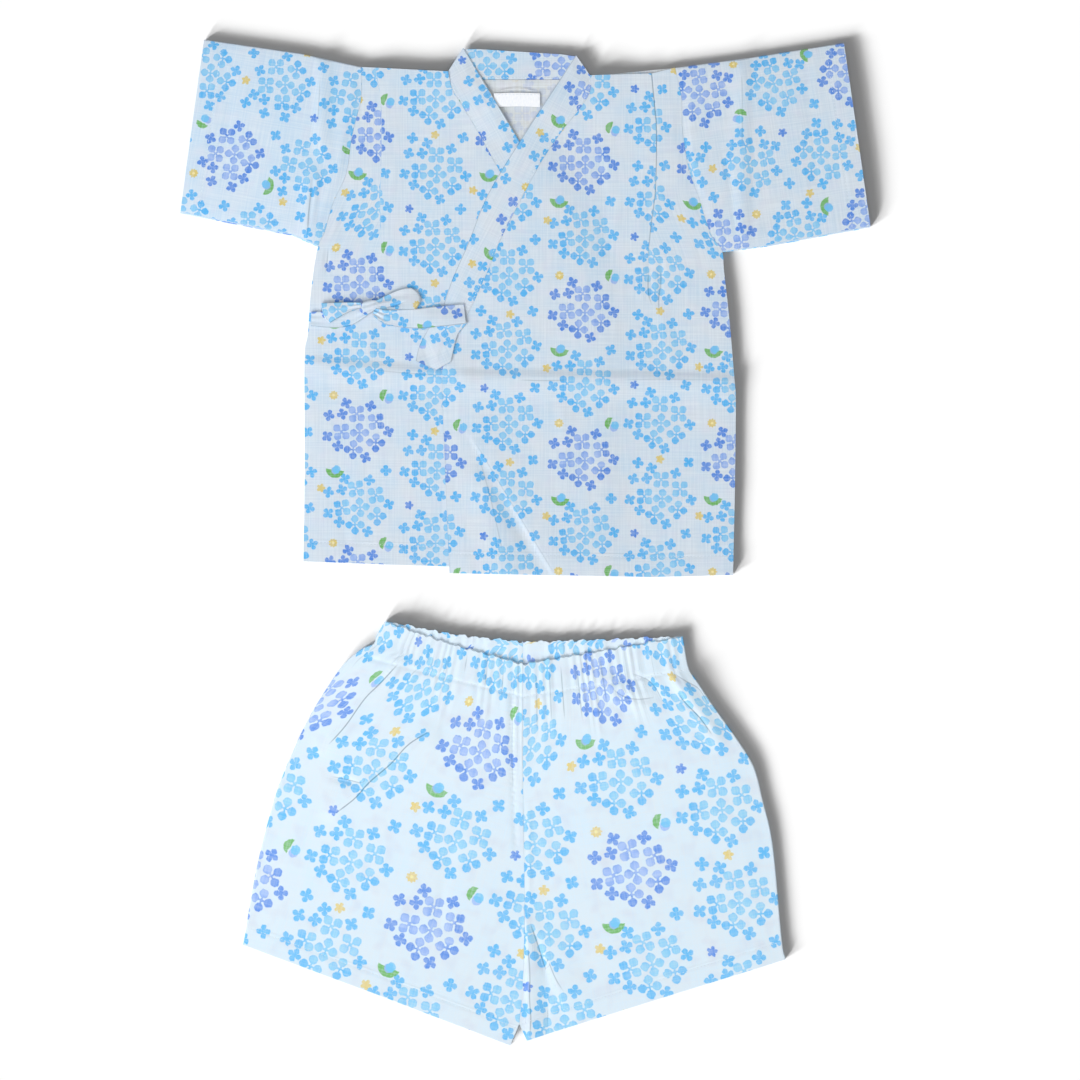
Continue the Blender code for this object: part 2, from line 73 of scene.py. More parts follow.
def placed(name, data):
    """An object made of a mesh, a camera or a light, put into the scene."""
    item = bpy.data.objects.new(name, data)
    bpy.context.scene.collection.objects.link(item)
    return item


# %% [markdown]
# ## Camera and light
#
# The camera looks straight down through a long lens, so that the edges of the picture are
# seen from almost the same direction as its middle. The clothes are only a few millimetres
# thick, and yet their shadow on the floor is long and soft. A light low enough to throw it
# would turn every crease of the cloth into a mountain. So the light is shared out, as a studio
# does it with flags. A few low lights fall on the floor alone, from the lower left, and their
# shadows add up to one that fades evenly. A higher light from the same side, a wide one from
# above and a weak window on the left fall on the cloth. An even sky adds a little to all.

# %% Camera and light
PICTURE_WIDTH = 0.9072         # metres of floor from one side of the picture to the other
PICTURE_CENTRE = (0.01223, 0.00206)
LENS = 110.0
SENSOR = 36.0
CLOTH_SIDE = 235.0             # degrees from the right, against the clock: the lower left
FLOOR_SIDE = 225.0
SKY_STRENGTH = 0.24
Sun = namedtuple("Sun", "share height side spread")
CLOTH_SUNS = [Sun(0.44, 38.0, CLOTH_SIDE, 40.0), Sun(0.28, 90.0, CLOTH_SIDE, 60.0)]
WINDOW = {"place": (-0.62, 0.05, 0.62), "width": 0.6, "watts": 1.2, "colour": (0.92, 1.0, 1.1)}
FLOOR_SUNS = [Sun(0.20, 8.5, FLOOR_SIDE - 12.0, 5.0), Sun(0.20, 8.5, FLOOR_SIDE + 12.0, 5.0),
              Sun(0.16, 11.5, FLOOR_SIDE - 7.0, 7.0), Sun(0.16, 11.5, FLOOR_SIDE + 7.0, 7.0),
              Sun(0.10, 18.0, FLOOR_SIDE, 10.0)]

camera_data = bpy.data.cameras.new("camera")
camera_data.lens = LENS
camera_data.sensor_width = SENSOR
camera_data.clip_end = 20.0
camera = placed("camera", camera_data)
camera.location = (*PICTURE_CENTRE, LENS / SENSOR * PICTURE_WIDTH)
bpy.context.scene.camera = camera


def distant_light(name, sun):
    """A sun at a height above the floor, from one side, as wide as its spread, in degrees.

    A level white surface sends back strength * sin(height) / pi, so the strength is worked out
    from the share of the light that it has to give.
    """
    data = bpy.data.lights.new(name, "SUN")
    data.energy = sun.share * math.pi / math.sin(math.radians(sun.height))
    data.angle = math.radians(sun.spread)
    light = placed(name, data)
    light.rotation_euler = (math.radians(90.0 - sun.height), 0.0, math.radians(sun.side + 90.0))
    return light


def window_light(name):
    """A square light on the left, turned to the middle: its side of the cloth is brighter."""
    data = bpy.data.lights.new(name, "AREA")
    data.size = WINDOW["width"]
    data.energy = WINDOW["watts"]
    data.color = WINDOW["colour"]
    light = placed(name, data)
    light.location = WINDOW["place"]
    light.rotation_euler = Vector(WINDOW["place"]).to_track_quat("Z", "Y").to_euler()
    light.visible_camera = False
    return light


cloth_lights = [distant_light("cloth_light", sun) for sun in CLOTH_SUNS]
cloth_lights.append(window_light("window_light"))
floor_lights = [distant_light("floor_light", sun) for sun in FLOOR_SUNS]

sky = bpy.data.worlds.new("sky")
sky.use_nodes = True
sky.node_tree.nodes["Background"].inputs["Color"].default_value = (1.0, 1.0, 1.0, 1.0)
sky.node_tree.nodes["Background"].inputs["Strength"].default_value = SKY_STRENGTH
bpy.context.scene.world = sky
bpy.context.scene.view_settings.view_transform = "Standard"
print("the camera is", round(camera.location.z, 3), "m above the floor")

# %% [markdown]
# ## Lines and lofts
#
# A cut piece is a few named edge lines with even steps of cloth between them. Each edge is a
# smooth curve through measured points. A loft takes one point from each edge on every row and
# fills the rows with columns, which gives a grid of places seen from above: the piece's plan.

# %% Lines and lofts
Point = namedtuple("Point", "x y")
CURVE_STEPS = 900
TINY = 1e-9


def line(*pairs):
    """A line of named points, in order from hem to shoulder or from end to end."""
    return [Point(*pair) for pair in pairs]


def smooth(value):
    """3t^2 - 2t^3: a ramp that starts and ends level, from 0 to 1."""
    value = np.clip(value, 0.0, 1.0)
    return value * value * (3.0 - 2.0 * value)


def even(steps):
    """Shares from 0 to 1, in even steps."""
    return np.linspace(0.0, 1.0, steps + 1)


def curve(points, count=CURVE_STEPS):
    """A Catmull-Rom curve: between two knots, a cubic of the four knots around them."""
    knots = np.array([tuple(point)[:2] for point in points], float)
    padded = np.vstack([2 * knots[0] - knots[1], knots, 2 * knots[-1] - knots[-2]])
    place = np.linspace(0.0, len(knots) - 1.0, count)
    span = np.minimum(place.astype(int), len(knots) - 2)
    t = (place - span)[:, None]
    p0, p1, p2, p3 = (padded[span + step] for step in range(4))
    return 0.5 * (2 * p1 + (p2 - p0) * t + (2 * p0 - 5 * p1 + 4 * p2 - p3) * t ** 2
                  + (3 * p1 - p0 - 3 * p2 + p3) * t ** 3)


def rungs(points, places):
    """Points on a line that climbs in y, at the given shares of its height."""
    path = curve(points)
    level = path[0, 1] + (path[-1, 1] - path[0, 1]) * places
    order = np.argsort(path[:, 1])
    return np.stack([np.interp(level, path[order, 1], path[order, 0]), level], axis=1)


def moved(points, dx):
    """The same line, dx to the side."""
    if isinstance(points, np.ndarray):
        return points + np.array([dx, 0.0])
    return [Point(point[0] + dx, point[1]) for point in points]


def joined(*lines):
    """Lines end to end, with a shared end point taken once."""
    result = list(lines[0])
    for more in lines[1:]:
        result += [point for point in more if tuple(point) != tuple(result[-1])]
    return result


def loft(lines, columns, places):
    """Rows and columns of (x, y): each row is drawn in straight steps from edge to edge."""
    rails = [points if isinstance(points, np.ndarray) else rungs(points, places)
             for points in lines]
    parts = []
    for first, second, count in zip(rails, rails[1:], columns):
        share = even(count)[None, :, None]
        part = first[:, None, :] * (1.0 - share) + second[:, None, :] * share
        parts.append(part if not parts else part[:, 1:])
    return np.concatenate(parts, axis=1)


def unit(steps):
    """The same steps, each one long, and a step of no length left as it is."""
    return steps / np.maximum(np.linalg.norm(steps, axis=-1, keepdims=True), TINY)


def strip_plan(sections, rows, columns):
    """A strip: a middle line, with the half width at each section on both sides of it."""
    middle = curve(sections, rows)
    half = curve([(index, section.half) for index, section in enumerate(sections)], rows)[:, 1]
    run = unit(np.gradient(middle, axis=0))
    across = np.stack([-run[:, 1], run[:, 0]], axis=1)
    offset = np.linspace(-1.0, 1.0, columns + 1)[None, :, None]
    return middle[:, None, :] + across[:, None, :] * half[:, None, None] * offset


def length_from(plan, edge):
    """How far each point of a grid lies from one of its edges, measured along the grid."""
    axis, backwards = {"first row": (0, False), "last row": (0, True),
                       "first column": (1, False), "last column": (1, True)}[edge]
    grid = np.flip(plan, axis) if backwards else plan
    steps = np.linalg.norm(np.diff(grid, axis=axis), axis=2)
    start = np.zeros_like(steps[:1] if axis == 0 else steps[:, :1])
    run = np.concatenate([start, np.cumsum(steps, axis=axis)], axis=axis)
    return np.flip(run, axis) if backwards else run


print("a curve through three points has", len(curve(line((0, 0), (1, 2), (2, 0)))), "steps")

# %% [markdown]
# ## Creases, folds and the unevenness of cloth
#
# Cloth that was packed and laid out again keeps soft ridges where it was folded, and fine
# creases near its seams. A fold is a ridge along a straight line with a different reach on
# each side. A crease is a trough or ridge along a curve. Between them the cloth is never quite
# flat, so a smooth random surface of a few tenths of a millimetre is added. Simulating the
# cloth would move the outline of the pieces, so the relief is given in tables.

# %% Relief
Fold = namedtuple("Fold", "x0 y0 x1 y1 rise near far")
Crease = namedtuple("Crease", "rise reach path")
# A sharp crease has no height: the material paints a line of shade and a highlight along it.
Sharp = namedtuple("Sharp", "depth path")
FOLD_FADE = 24.0       # length over which a fold runs out at each end
CREASE_FADE = 14.0
CREASE_END = 2.0       # a crease is not quite gone at its end
SHARP_FADE = 12.0
SHARP_REACH = 5.0      # the grids are less than this apart
SHARP_FEATHER = 2.0
SHARP_PAST_END = 4.0   # beyond the end of its path a sharp crease is nothing
NO_CREASE = 9.0        # a gap that is too wide to show
EDGE_LINE_IN = 0.3     # how far inside an edge its line runs
EDGE_LINE_GROWS = 1.6  # its line is this much thinner than a crease's
SWELL_LEVEL = 0.51     # lifts the sum of the swells, so that it is never below zero
CLOUD_CELLS = 61
HEM_RISE = 0.25
HEM_STEP = 1.5         # over this width a hem falls to the cloth, and its stitches run inside it
STITCH_SINK = 0.22
STITCH_GROOVE = 1.4


def folds_height(plan, folds):
    """The highest fold at each point: a ramp down from its line, faded at both ends."""
    height = np.zeros(plan.shape[:2])
    for fold in folds:
        start = np.array([fold.x0, fold.y0], float)
        run = np.array([fold.x1, fold.y1], float) - start
        length = np.linalg.norm(run)
        run /= length
        along = (plan - start) @ run
        side = (plan - start) @ np.array([-run[1], run[0]])
        reach = np.where(side > 0.0, fold.near, fold.far)
        fade = smooth(along / FOLD_FADE + 0.5) * smooth((length - along) / FOLD_FADE + 0.5)
        height = np.maximum(height, fold.rise * (1.0 - smooth(np.abs(side) / reach)) * fade)
    return height


def length_along(path):
    """How far each point of a path lies from its start."""
    return np.concatenate([[0.0], np.cumsum(np.linalg.norm(np.diff(path, axis=0), axis=1))])


def fading_ends(path, fade, spare=0.0):
    """1 along a path, and 0 at both of its ends, or a spare length beyond them."""
    run = length_along(path) + spare
    return smooth(run / fade) * smooth((run[-1] - run + spare) / fade)


def nearest_on(path, plan):
    """For each point of a grid: the nearest point of a path, and how far off it is."""
    gap = np.linalg.norm(plan[:, :, None, :] - path[None, None], axis=3)
    return gap.argmin(axis=2), gap.min(axis=2)


def creases_height(plan, creases):
    """The sum of the creases: a bell across each curve, faded at both of its ends."""
    height = np.zeros(plan.shape[:2])
    for crease in creases:
        path = curve(crease.path, 10 * len(crease.path))
        nearest, gap = nearest_on(path, plan)
        fade = fading_ends(path, CREASE_FADE, CREASE_END)[nearest]
        height += crease.rise * fade * np.exp(-(gap / crease.reach) ** 2)
    return height


def near_line(gap):
    """1 at a line, and 0 before the grid's next point could be on its other side."""
    return smooth((SHARP_REACH - np.abs(gap)) / SHARP_FEATHER)


def deeper(first, second):
    """Of two sets of lines, each a gap and a depth, the deeper one at every point."""
    return np.where(second[1] > first[1], second[0], first[0]), np.maximum(first[1], second[1])


def sharp_creases(plan, creases):
    """For each point: how far it lies to the left of the nearest crease, and how deep that is.

    Both vary evenly between the grid's points, so the material can paint a line of shade, with
    a painted highlight beside it, far thinner than the grid. The side is the cross product of
    the crease's run and the step to the point.
    """
    lines = np.full(plan.shape[:2], NO_CREASE), np.zeros(plan.shape[:2])
    for crease in creases:
        path = curve(crease.path, 12 * len(crease.path))
        nearest, _ = nearest_on(path, plan)
        step, way = plan - path[nearest], unit(np.gradient(path, axis=0))[nearest]
        side = way[..., 0] * step[..., 1] - way[..., 1] * step[..., 0]
        beside = np.abs((way * step).sum(axis=2)) <= SHARP_PAST_END
        fade = fading_ends(path, SHARP_FADE)[nearest]
        lines = deeper(lines, (side, crease.depth * fade * near_line(side) * beside))
    return lines


def painted_edge_shade(plan, edges, depth):
    """A thin line of painted shade just inside some edges, where they bend down to what is
    beneath.
    """
    gap = np.minimum.reduce([length_from(plan, edge) for edge in edges]) - EDGE_LINE_IN
    return EDGE_LINE_GROWS * gap, depth * near_line(gap)


def between(table, low, share):
    """A table read between four of its entries, by the shares of the way in x and in y."""
    (x, y), (fx, fy) = low, share
    return ((table[x, y] * (1 - fx) + table[x + 1, y] * fx) * (1 - fy)
            + (table[x, y + 1] * (1 - fx) + table[x + 1, y + 1] * fx) * fy)


def cloud(plan, size, seed):
    """Smooth random heights from -1 to 1: a table of random numbers, blended between."""
    table = np.random.default_rng(seed).uniform(-1.0, 1.0, (CLOUD_CELLS, CLOUD_CELLS))
    spot = plan / size + CLOUD_CELLS // 2
    low = np.floor(spot).astype(int)
    share = smooth(spot - low)
    return between(np.pad(table, (0, 1), "wrap"), np.moveaxis(low % CLOUD_CELLS, -1, 0),
                   np.moveaxis(share, -1, 0))


def unevenness(plan, seed):
    """Wide, middling and small swells of the cloth, added together and never below zero."""
    swell = (0.30 * cloud(plan, 58.0, seed) + 0.16 * cloud(plan, 23.0, seed + 1)
             + 0.05 * cloud(plan, 9.0, seed + 2))
    return swell + SWELL_LEVEL


def hem_height(distance, depth):
    """A hem lies a little higher than the cloth, and its stitching pulls in a groove."""
    doubled = HEM_RISE * (1.0 - smooth((distance - depth) / HEM_STEP))
    sunk = STITCH_SINK * np.exp(-((distance - depth + HEM_STEP) / STITCH_GROOVE) ** 2)
    return doubled - sunk


print("the cloth's own unevenness is at most", round(2 * SWELL_LEVEL, 2), "mm")

# %% [markdown]
# ## The heap
#
# Each piece is laid on the ones before it. A map of heights remembers what lies where. A piece
# starts a little above the highest thing beneath it, and steps are smoothed, because cloth
# bridges them rather than dropping straight down.

# %% The heap
WALL = 1.1             # room for one layer of cloth
BAND_WALL = 1.3        # a band is a strip folded double and pressed
CLEAR = 0.3            # between one piece and the next
SEAM = 0.02            # each side of a seam line
HOLLOW = 0.6           # air between the two layers of a sleeve or a leg at its folded edge
TUBE_HIGH = 2 * WALL + HOLLOW
CELL = 2.0
BRIDGE_CELLS = 8       # how far a wide piece bridges a step, and how far a narrow one does
NARROW_CELLS = 3
MAP_HALF = (310, 440)


def cells_within(radius):
    """Steps to all the cells in a disc."""
    reach = range(-radius, radius + 1)
    return [(dx, dy) for dx in reach for dy in reach if dx * dx + dy * dy <= radius * radius]


class Heap:
    """A height map of what already lies on the floor, with the clearance on top."""

    def __init__(self):
        self.size = [int(2 * half / CELL) + 1 for half in MAP_HALF]
        self.level = np.zeros(self.size)

    def under(self, plan, reach=BRIDGE_CELLS):
        """How high a cloth laid here has to start: steps are widened, then smoothed."""
        disc = cells_within(reach)
        wide = np.max([np.roll(self.level, step, axis=(0, 1)) for step in disc], axis=0)
        soft = np.mean([np.roll(wide, step, axis=(0, 1)) for step in disc], axis=0)
        spot = [(plan[..., axis] + MAP_HALF[axis]) / CELL for axis in (0, 1)]
        low = [np.clip(value.astype(int), 0, size - 2) for value, size in zip(spot, self.size)]
        return between(soft, low, [value - first for value, first in zip(spot, low)])

    def cover(self, *surfaces):
        """Add pieces' upper surfaces to the map, once all that lie side by side are laid."""
        for grid in surfaces:
            ix = np.rint((grid[..., 0] + MAP_HALF[0]) / CELL).astype(int)
            iy = np.rint((grid[..., 1] + MAP_HALF[1]) / CELL).astype(int)
            np.maximum.at(self.level, (np.clip(ix, 0, self.size[0] - 1),
                                       np.clip(iy, 0, self.size[1] - 1)),
                          grid[..., 2] + CLEAR)


heap = Heap()
print("the heap's map has", heap.level.size, "cells")

# %% [markdown]
# ## A shell of cloth
#
# A piece of cloth is a closed shell: its upper side, its lower side, and a rounded edge. Two
# equal grids of points are joined by a rim whose middle stands out a little, as a folded or
# sewn edge does. Where the cloth goes all the way round, as on a sleeve, the last column meets
# the first. A map named "cloth" gives every point its place on the uncut cloth, in metres, so
# that the print and the weave follow the piece as it bends.

# %% A shell of cloth
CLOTH = 0.7            # thickness of the single cloth
RIM = 0.07             # how far a rounded edge stands out
laid = {}              # the upper side of each piece, for its stitches


def outwards(grid, ring):
    """Unit steps that point off the grid at its edges, and nothing inside."""
    flat = grid[..., :2]
    out = np.zeros_like(flat)
    for here, inside in ((0, 1), (-1, -2)):
        out[here] += unit(flat[here] - flat[inside])
        if not ring:
            out[:, here] += unit(flat[:, here] - flat[:, inside])
    return out


def edge_loops(index, ring):
    """The edges of a grid of indices, closed, in the order in which its faces turn."""
    if ring:
        return [index[0], index[-1][::-1]]
    return [np.concatenate([index[0], index[1:, -1], index[-1, -2::-1], index[-2::-1, 0]])]


def shell_faces(rows, columns, ring, inside_slots):
    """Faces, their corners' places on the cloth, their slots, and the points of the rim.

    Points are numbered over the upper grid, the lower one and then the middle of the rim. On
    a ring the places have one column more, where the cloth meets its own start.
    """
    wide, count = columns + ring, rows * columns
    index = np.arange(rows * wide).reshape(rows, wide)
    real = ((index // wide) * columns + (index % wide) % columns).ravel()
    corners = np.stack([index[:-1, :-1], index[:-1, 1:], index[1:, 1:], index[1:, :-1]],
                       axis=2).reshape(-1, 4)
    faces = [real[corners], real[corners][:, ::-1] + count]
    places = [corners, corners[:, ::-1]]
    inner = np.ones(len(corners), int) if inside_slots is None else inside_slots.ravel()
    slots = [np.zeros(len(corners), int), inner]
    rim, made = [], 2 * count
    for loop in edge_loops(index, ring):
        edge = real[loop]
        rim.append(edge[:-1])
        middle = np.append(made + np.arange(len(edge) - 1), made)
        made += len(edge) - 1
        a, b, here, there = edge[:-1], edge[1:], loop[:-1], loop[1:]
        faces += [np.stack([b, a, middle[:-1], middle[1:]], axis=1),
                  np.stack([middle[1:], middle[:-1], a + count, b + count], axis=1)]
        places += [np.stack([there, here, here, there], axis=1)] * 2
        slots += [np.zeros(len(here), int)] * 2
    return (*(np.concatenate(parts) for parts in (faces, places, slots, rim)), 2 * len(corners))


def mesh_of(name, points, faces, materials):
    """A mesh of points in metres."""
    mesh = bpy.data.meshes.new(name)
    mesh.from_pydata(points, [], faces)
    for material in materials:
        mesh.materials.append(material)
    return mesh


def shell(node, upper, lower, cloth_map, materials, ring=False, inside_slots=None, sharp=None):
    """A closed mesh between two grids; volume from the sum of p0 . (p1 x p2) / 6 turns it out.

    Only the rim is flat shaded, so that cloth stays level up to a seam. sharp has the gap to
    the nearest sharp crease and the depth of its painted shade, for the first columns.
    """
    rows, columns = upper.shape[:2]
    faces, places, slots, rim, flat_faces = shell_faces(rows, columns, ring, inside_slots)
    out = outwards(upper, ring)
    sides = [np.concatenate([side[..., :2] - RIM * out, side[..., 2:]], axis=2).reshape(-1, 3)
             for side in (upper, lower)]
    points = np.concatenate([*sides, ((upper + lower) / 2).reshape(-1, 3)[rim]])
    points = (points - ORIGIN) * MM
    p0, p1, p2, p3 = (points[faces[:, corner]] for corner in range(4))
    volume = (np.einsum("ij,ij->", p0, np.cross(p1, p2))
              + np.einsum("ij,ij->", p0, np.cross(p2, p3))) / 6
    if volume < 0:
        faces, places = faces[:, ::-1], places[:, ::-1]
    mesh = mesh_of(node + "_cloth", points.tolist(), faces.tolist(), materials)
    layer = mesh.uv_layers.new(name="cloth")
    layer.data.foreach_set("uv", cloth_map.reshape(-1, 2)[places.ravel()].ravel())
    mesh.polygons.foreach_set("material_index", slots.astype(np.int32))
    for label, part, unmarked in (("crease_gap", 0, NO_CREASE), ("crease_depth", 1, 0.0)):
        values = np.full(len(points), unmarked)
        if sharp is not None:
            marked = values[:rows * columns].reshape(rows, columns)
            marked[:, :sharp[part].shape[1]] = sharp[part]
        mesh.attributes.new(label, "FLOAT", "POINT").data.foreach_set("value", values)
    flat = np.arange(len(faces)) >= flat_faces
    mesh.attributes.new("sharp_face", "BOOLEAN", "FACE").data.foreach_set("value", flat)
    laid[node] = upper
    return placed(mesh.name, mesh)


def cut_size(cloth_map):
    """Width, length and area of the flat cut, in metres, from the places on the cloth."""
    low, high = cloth_map.reshape(-1, 2).min(0), cloth_map.reshape(-1, 2).max(0)
    a, b, c, d = cloth_map[:-1, :-1], cloth_map[:-1, 1:], cloth_map[1:, 1:], cloth_map[1:, :-1]
    across, up = c - a, d - b
    area = np.abs(across[..., 0] * up[..., 1] - across[..., 1] * up[..., 0]).sum() / 2
    return (float(high[0] - low[0]), float(high[1] - low[1])), float(area)


def on_cloth(plan, centre, tilt=0.0):
    """Places on the cloth: the plan turned back by the grain's tilt, from a flower's centre."""
    turn = np.array([[math.cos(tilt), -math.sin(tilt)], [math.sin(tilt), math.cos(tilt)]])
    return (plan - np.array(centre)) @ turn * MM


def sewn_in(piece, node, cloth_map, rests_on):
    """Attaches the piece, hides the part that it stands for, and prints how it was cut."""
    flat, area = cut_size(cloth_map)
    area = min(area, flat[0] * flat[1])
    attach(piece, "root")
    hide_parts(node)
    [other + "_cloth" for other in rests_on]
    print(f"{piece.name}: cut {1000 * flat[0]:.0f} x {1000 * flat[1]:.0f} mm, "
          f"{1e4 * area:.0f} cm2, {len(piece.data.polygons)} faces")


# %% [markdown]
# ## Shader maths
#
# The print is worked out by the material for each point of the cloth, from distances and
# angles. Written as separate nodes this would be unreadable, so one small class stands for a
# number that varies over the surface. Adding or multiplying such numbers adds the Math nodes.
# Every other node comes from one method, which takes its type, its settings and its sockets.

# %% Shader maths
class Value:
    """A number that varies over a surface: the output socket of a node."""

    def __init__(self, finish, socket):
        self.finish, self.socket = finish, socket

    def then(self, operation, *terms, clamp=False):
        """The Math node of that name, with this number as its first term."""
        return self.finish.maths(operation, self, *terms, clamp=clamp)

    def __add__(self, other):
        return self.then("ADD", other)

    def __sub__(self, other):
        return self.then("SUBTRACT", other)

    def __rsub__(self, other):
        return self.finish.maths("SUBTRACT", other, self)

    def __mul__(self, other):
        return self.then("MULTIPLY", other)

    def __truediv__(self, other):
        return self.then("DIVIDE", other)

    def __pow__(self, power):
        return self.then("POWER", power)

    def __gt__(self, other):
        return self.then("GREATER_THAN", other)

    def __abs__(self):
        return self.then("ABSOLUTE")

    __radd__, __rmul__ = __add__, __mul__

    def sin(self):
        return self.then("SINE")

    def cos(self):
        return self.then("COSINE")

    def rounded(self):
        return self.then("ROUND")

    def odd(self):
        """0 for an even number and 1 for an odd one."""
        return self.then("PINGPONG", 1.0)

    def ramp(self, slope, start):
        """The number times a slope, plus a start, held between 0 and 1."""
        return self.then("MULTIPLY_ADD", slope, start, clamp=True)

    def least(self, other):
        return self.then("MINIMUM", other)

    def most(self, other):
        return self.then("MAXIMUM", other)


class Finish:
    """The nodes of one material."""

    def __init__(self, name):
        self.material = bpy.data.materials.new(name)
        self.material.use_nodes = True
        self.tree = self.material.node_tree
        self.shader = self.tree.nodes["Principled BSDF"]
        self.look("Metallic", 0.0)
        self.look("Specular IOR Level", 0.25)
        self.look("Sheen Weight", 0.0)

    def feed(self, socket, value):
        """A link where the value is a socket, and a plain setting where it is a number."""
        if isinstance(value, Value):
            value = value.socket
        if isinstance(value, bpy.types.NodeSocket):
            self.tree.links.new(value, socket)
        else:
            socket.default_value = value

    def look(self, name, value):
        """One of the inputs that say how the surface looks."""
        self.feed(self.shader.inputs[name], value)

    def node(self, kind, settings=None, sockets=None):
        """Any node: its type, then its settings, then the values or links of its sockets."""
        item = self.tree.nodes.new(kind)
        for key, value in (settings or {}).items():
            setattr(item, key, value)
        for key, value in (sockets or {}).items():
            self.feed(item.inputs[key], value)
        return item

    def maths(self, operation, *terms, clamp=False):
        """A Math node: its operation by name, and its terms in order."""
        item = self.node("ShaderNodeMath", {"operation": operation, "use_clamp": clamp},
                         dict(enumerate(terms)))
        return Value(self, item.outputs[0])

    def mix(self, share, first, second):
        """first where share is 0, second where it is 1."""
        item = self.node("ShaderNodeMix", {"data_type": "RGBA"}, {0: share, 6: first, 7: second})
        return item.outputs[2]

    def cloth_place(self, scale):
        """The place on the cloth in millimetres of the print, which may be enlarged."""
        item = self.node("ShaderNodeUVMap", {"uv_map": "cloth"})
        parts = self.node("ShaderNodeSeparateXYZ", sockets={0: item.outputs[0]})
        return [Value(self, parts.outputs[axis]) * (1000.0 / scale) for axis in (0, 1)]

    def bump(self, height, depth, strength):
        """Tips the surface by a height from 0 to 1 that stands for depth metres."""
        item = self.node("ShaderNodeBump", sockets={"Strength": strength, "Distance": depth,
                                                    "Height": height})
        self.look("Normal", item.outputs[0])


def noise(x, y, detail=0.0):
    """Smooth random numbers around a half, one swell to each unit of x and of y."""
    place = x.finish.node("ShaderNodeCombineXYZ", sockets={0: x, 1: y})
    item = x.finish.node("ShaderNodeTexNoise", {"noise_dimensions": "2D"},
                         {"Vector": place.outputs[0], "Scale": 1.0, "Detail": detail})
    return Value(x.finish, item.outputs[0])


def shade(red, green, blue):
    """A colour as mixed on a screen, from 0 to 255, as the linear one that a shader takes."""
    parts = np.array([red, green, blue]) / 255.0
    linear = np.where(parts <= 0.04045, parts / 12.92, ((parts + 0.055) / 1.055) ** 2.4)
    return (*(float(part) for part in linear), 1.0)


print("a middle grey is", round(shade(128, 128, 128)[0], 3), "in linear light")

# %% [markdown]
# ## The printed flowers
#
# The print repeats on a half-drop lattice: heads of hydrangea stand in columns, and every
# other column is half a step lower, so that no straight gaps show. Each head is a ring of five
# large florets around one in the middle. Small florets fill the gaps of that ring, and a few
# more stand outside on the shady side. Florets on the sunny side have their outer petals full
# in colour, and the others are pale. A ring is drawn once, by taking each point of the cloth
# from the nearest floret of the ring.

# %% The printed flowers
COLUMN_STEP = 64.3
ROW_STEP = 62.2
LARGE = {"reach": 3.55, "petal": 2.95, "stem": 0.9, "square": 2.5}
SMALL = {"reach": 2.05, "petal": 1.95, "stem": 1.6, "square": 2.0}
EDGE_SOFT = 0.5        # the ink's edge
FAR_OFF = 9.0          # a distance at which there is no ink
Ring = namedtuple("Ring", "count start radius drift phase")
LARGE_RING = Ring(5, 0.56, 16.0, 0.8, 0.0)
GAP_RING = Ring(5, 1.15, 22.8, 2.0, math.pi / 4)
SHADY_RING = Ring(10, 2.60, 27.3, 2.2, 0.0)
SWING = 0.12           # of the florets on a ring of five
SUNNY_TURN = 0.66      # the florets below the middle are turned by this much more


def ink(distance):
    """1 inside a shape, 0 outside, with a soft edge: a half less distance over softness."""
    return distance.ramp(-1.0 / EDGE_SOFT, 0.5)


def turned(x, y, angle):
    """x cos a + y sin a, and y cos a - x sin a: the point in a frame turned by the angle."""
    if isinstance(angle, Value):
        c, s = angle.cos(), angle.sin()
    else:
        c, s = math.cos(angle), math.sin(angle)
    return x * c + y * s, y * c - x * s


def lattice(x, y, sway):
    """Steps to the nearest cell's middle, and the cell's column and row."""
    column = (x / COLUMN_STEP).rounded()
    dropped = y - column.odd() * (ROW_STEP / 2)
    row = (dropped / ROW_STEP).rounded()
    stray = (column * 5.1 + row * 3.3).sin() * sway
    return x - column * COLUMN_STEP - stray, dropped - row * ROW_STEP + stray, column, row


def floret(x, y, reach, petal, stem, square):
    """Distance to four petals at (+-reach, +-reach), with a cross of stems between them.

    A petal is (u^n + v^n)^(1/n) - radius: round where n is 2, squarer where it is more.
    """
    ax, ay = abs(x), abs(y)
    u, v = abs(ax - reach), abs(ay - reach)
    petals = (u ** square + v ** square) ** (1.0 / square) - petal
    return petals.least((abs(ax - ay) - stem).most(ax - reach))


def ring_of_florets(x, y, ring):
    """Steps from the nearest floret of a ring, its number k, and cos and sin of its place.

    It is at the start plus k full turns / count, with a swing of sin(k quarter turns) on a ring
    of five, at a distance of radius + drift cos(k quarter turns + phase).
    """
    step = 2 * math.pi / ring.count
    ahead_x, ahead_y = turned(x, y, ring.start)
    k = (ahead_y.then("ARCTAN2", ahead_x) / step).rounded()
    quarter = k * (math.pi / 2)
    place = k * step + ring.start
    if ring.count == LARGE_RING.count:
        place = place - quarter.sin() * SWING
    distance = (quarter + ring.phase).cos() * ring.drift + ring.radius
    c, s = place.cos(), place.sin()
    return x - distance * c, y - distance * s, k, c, s


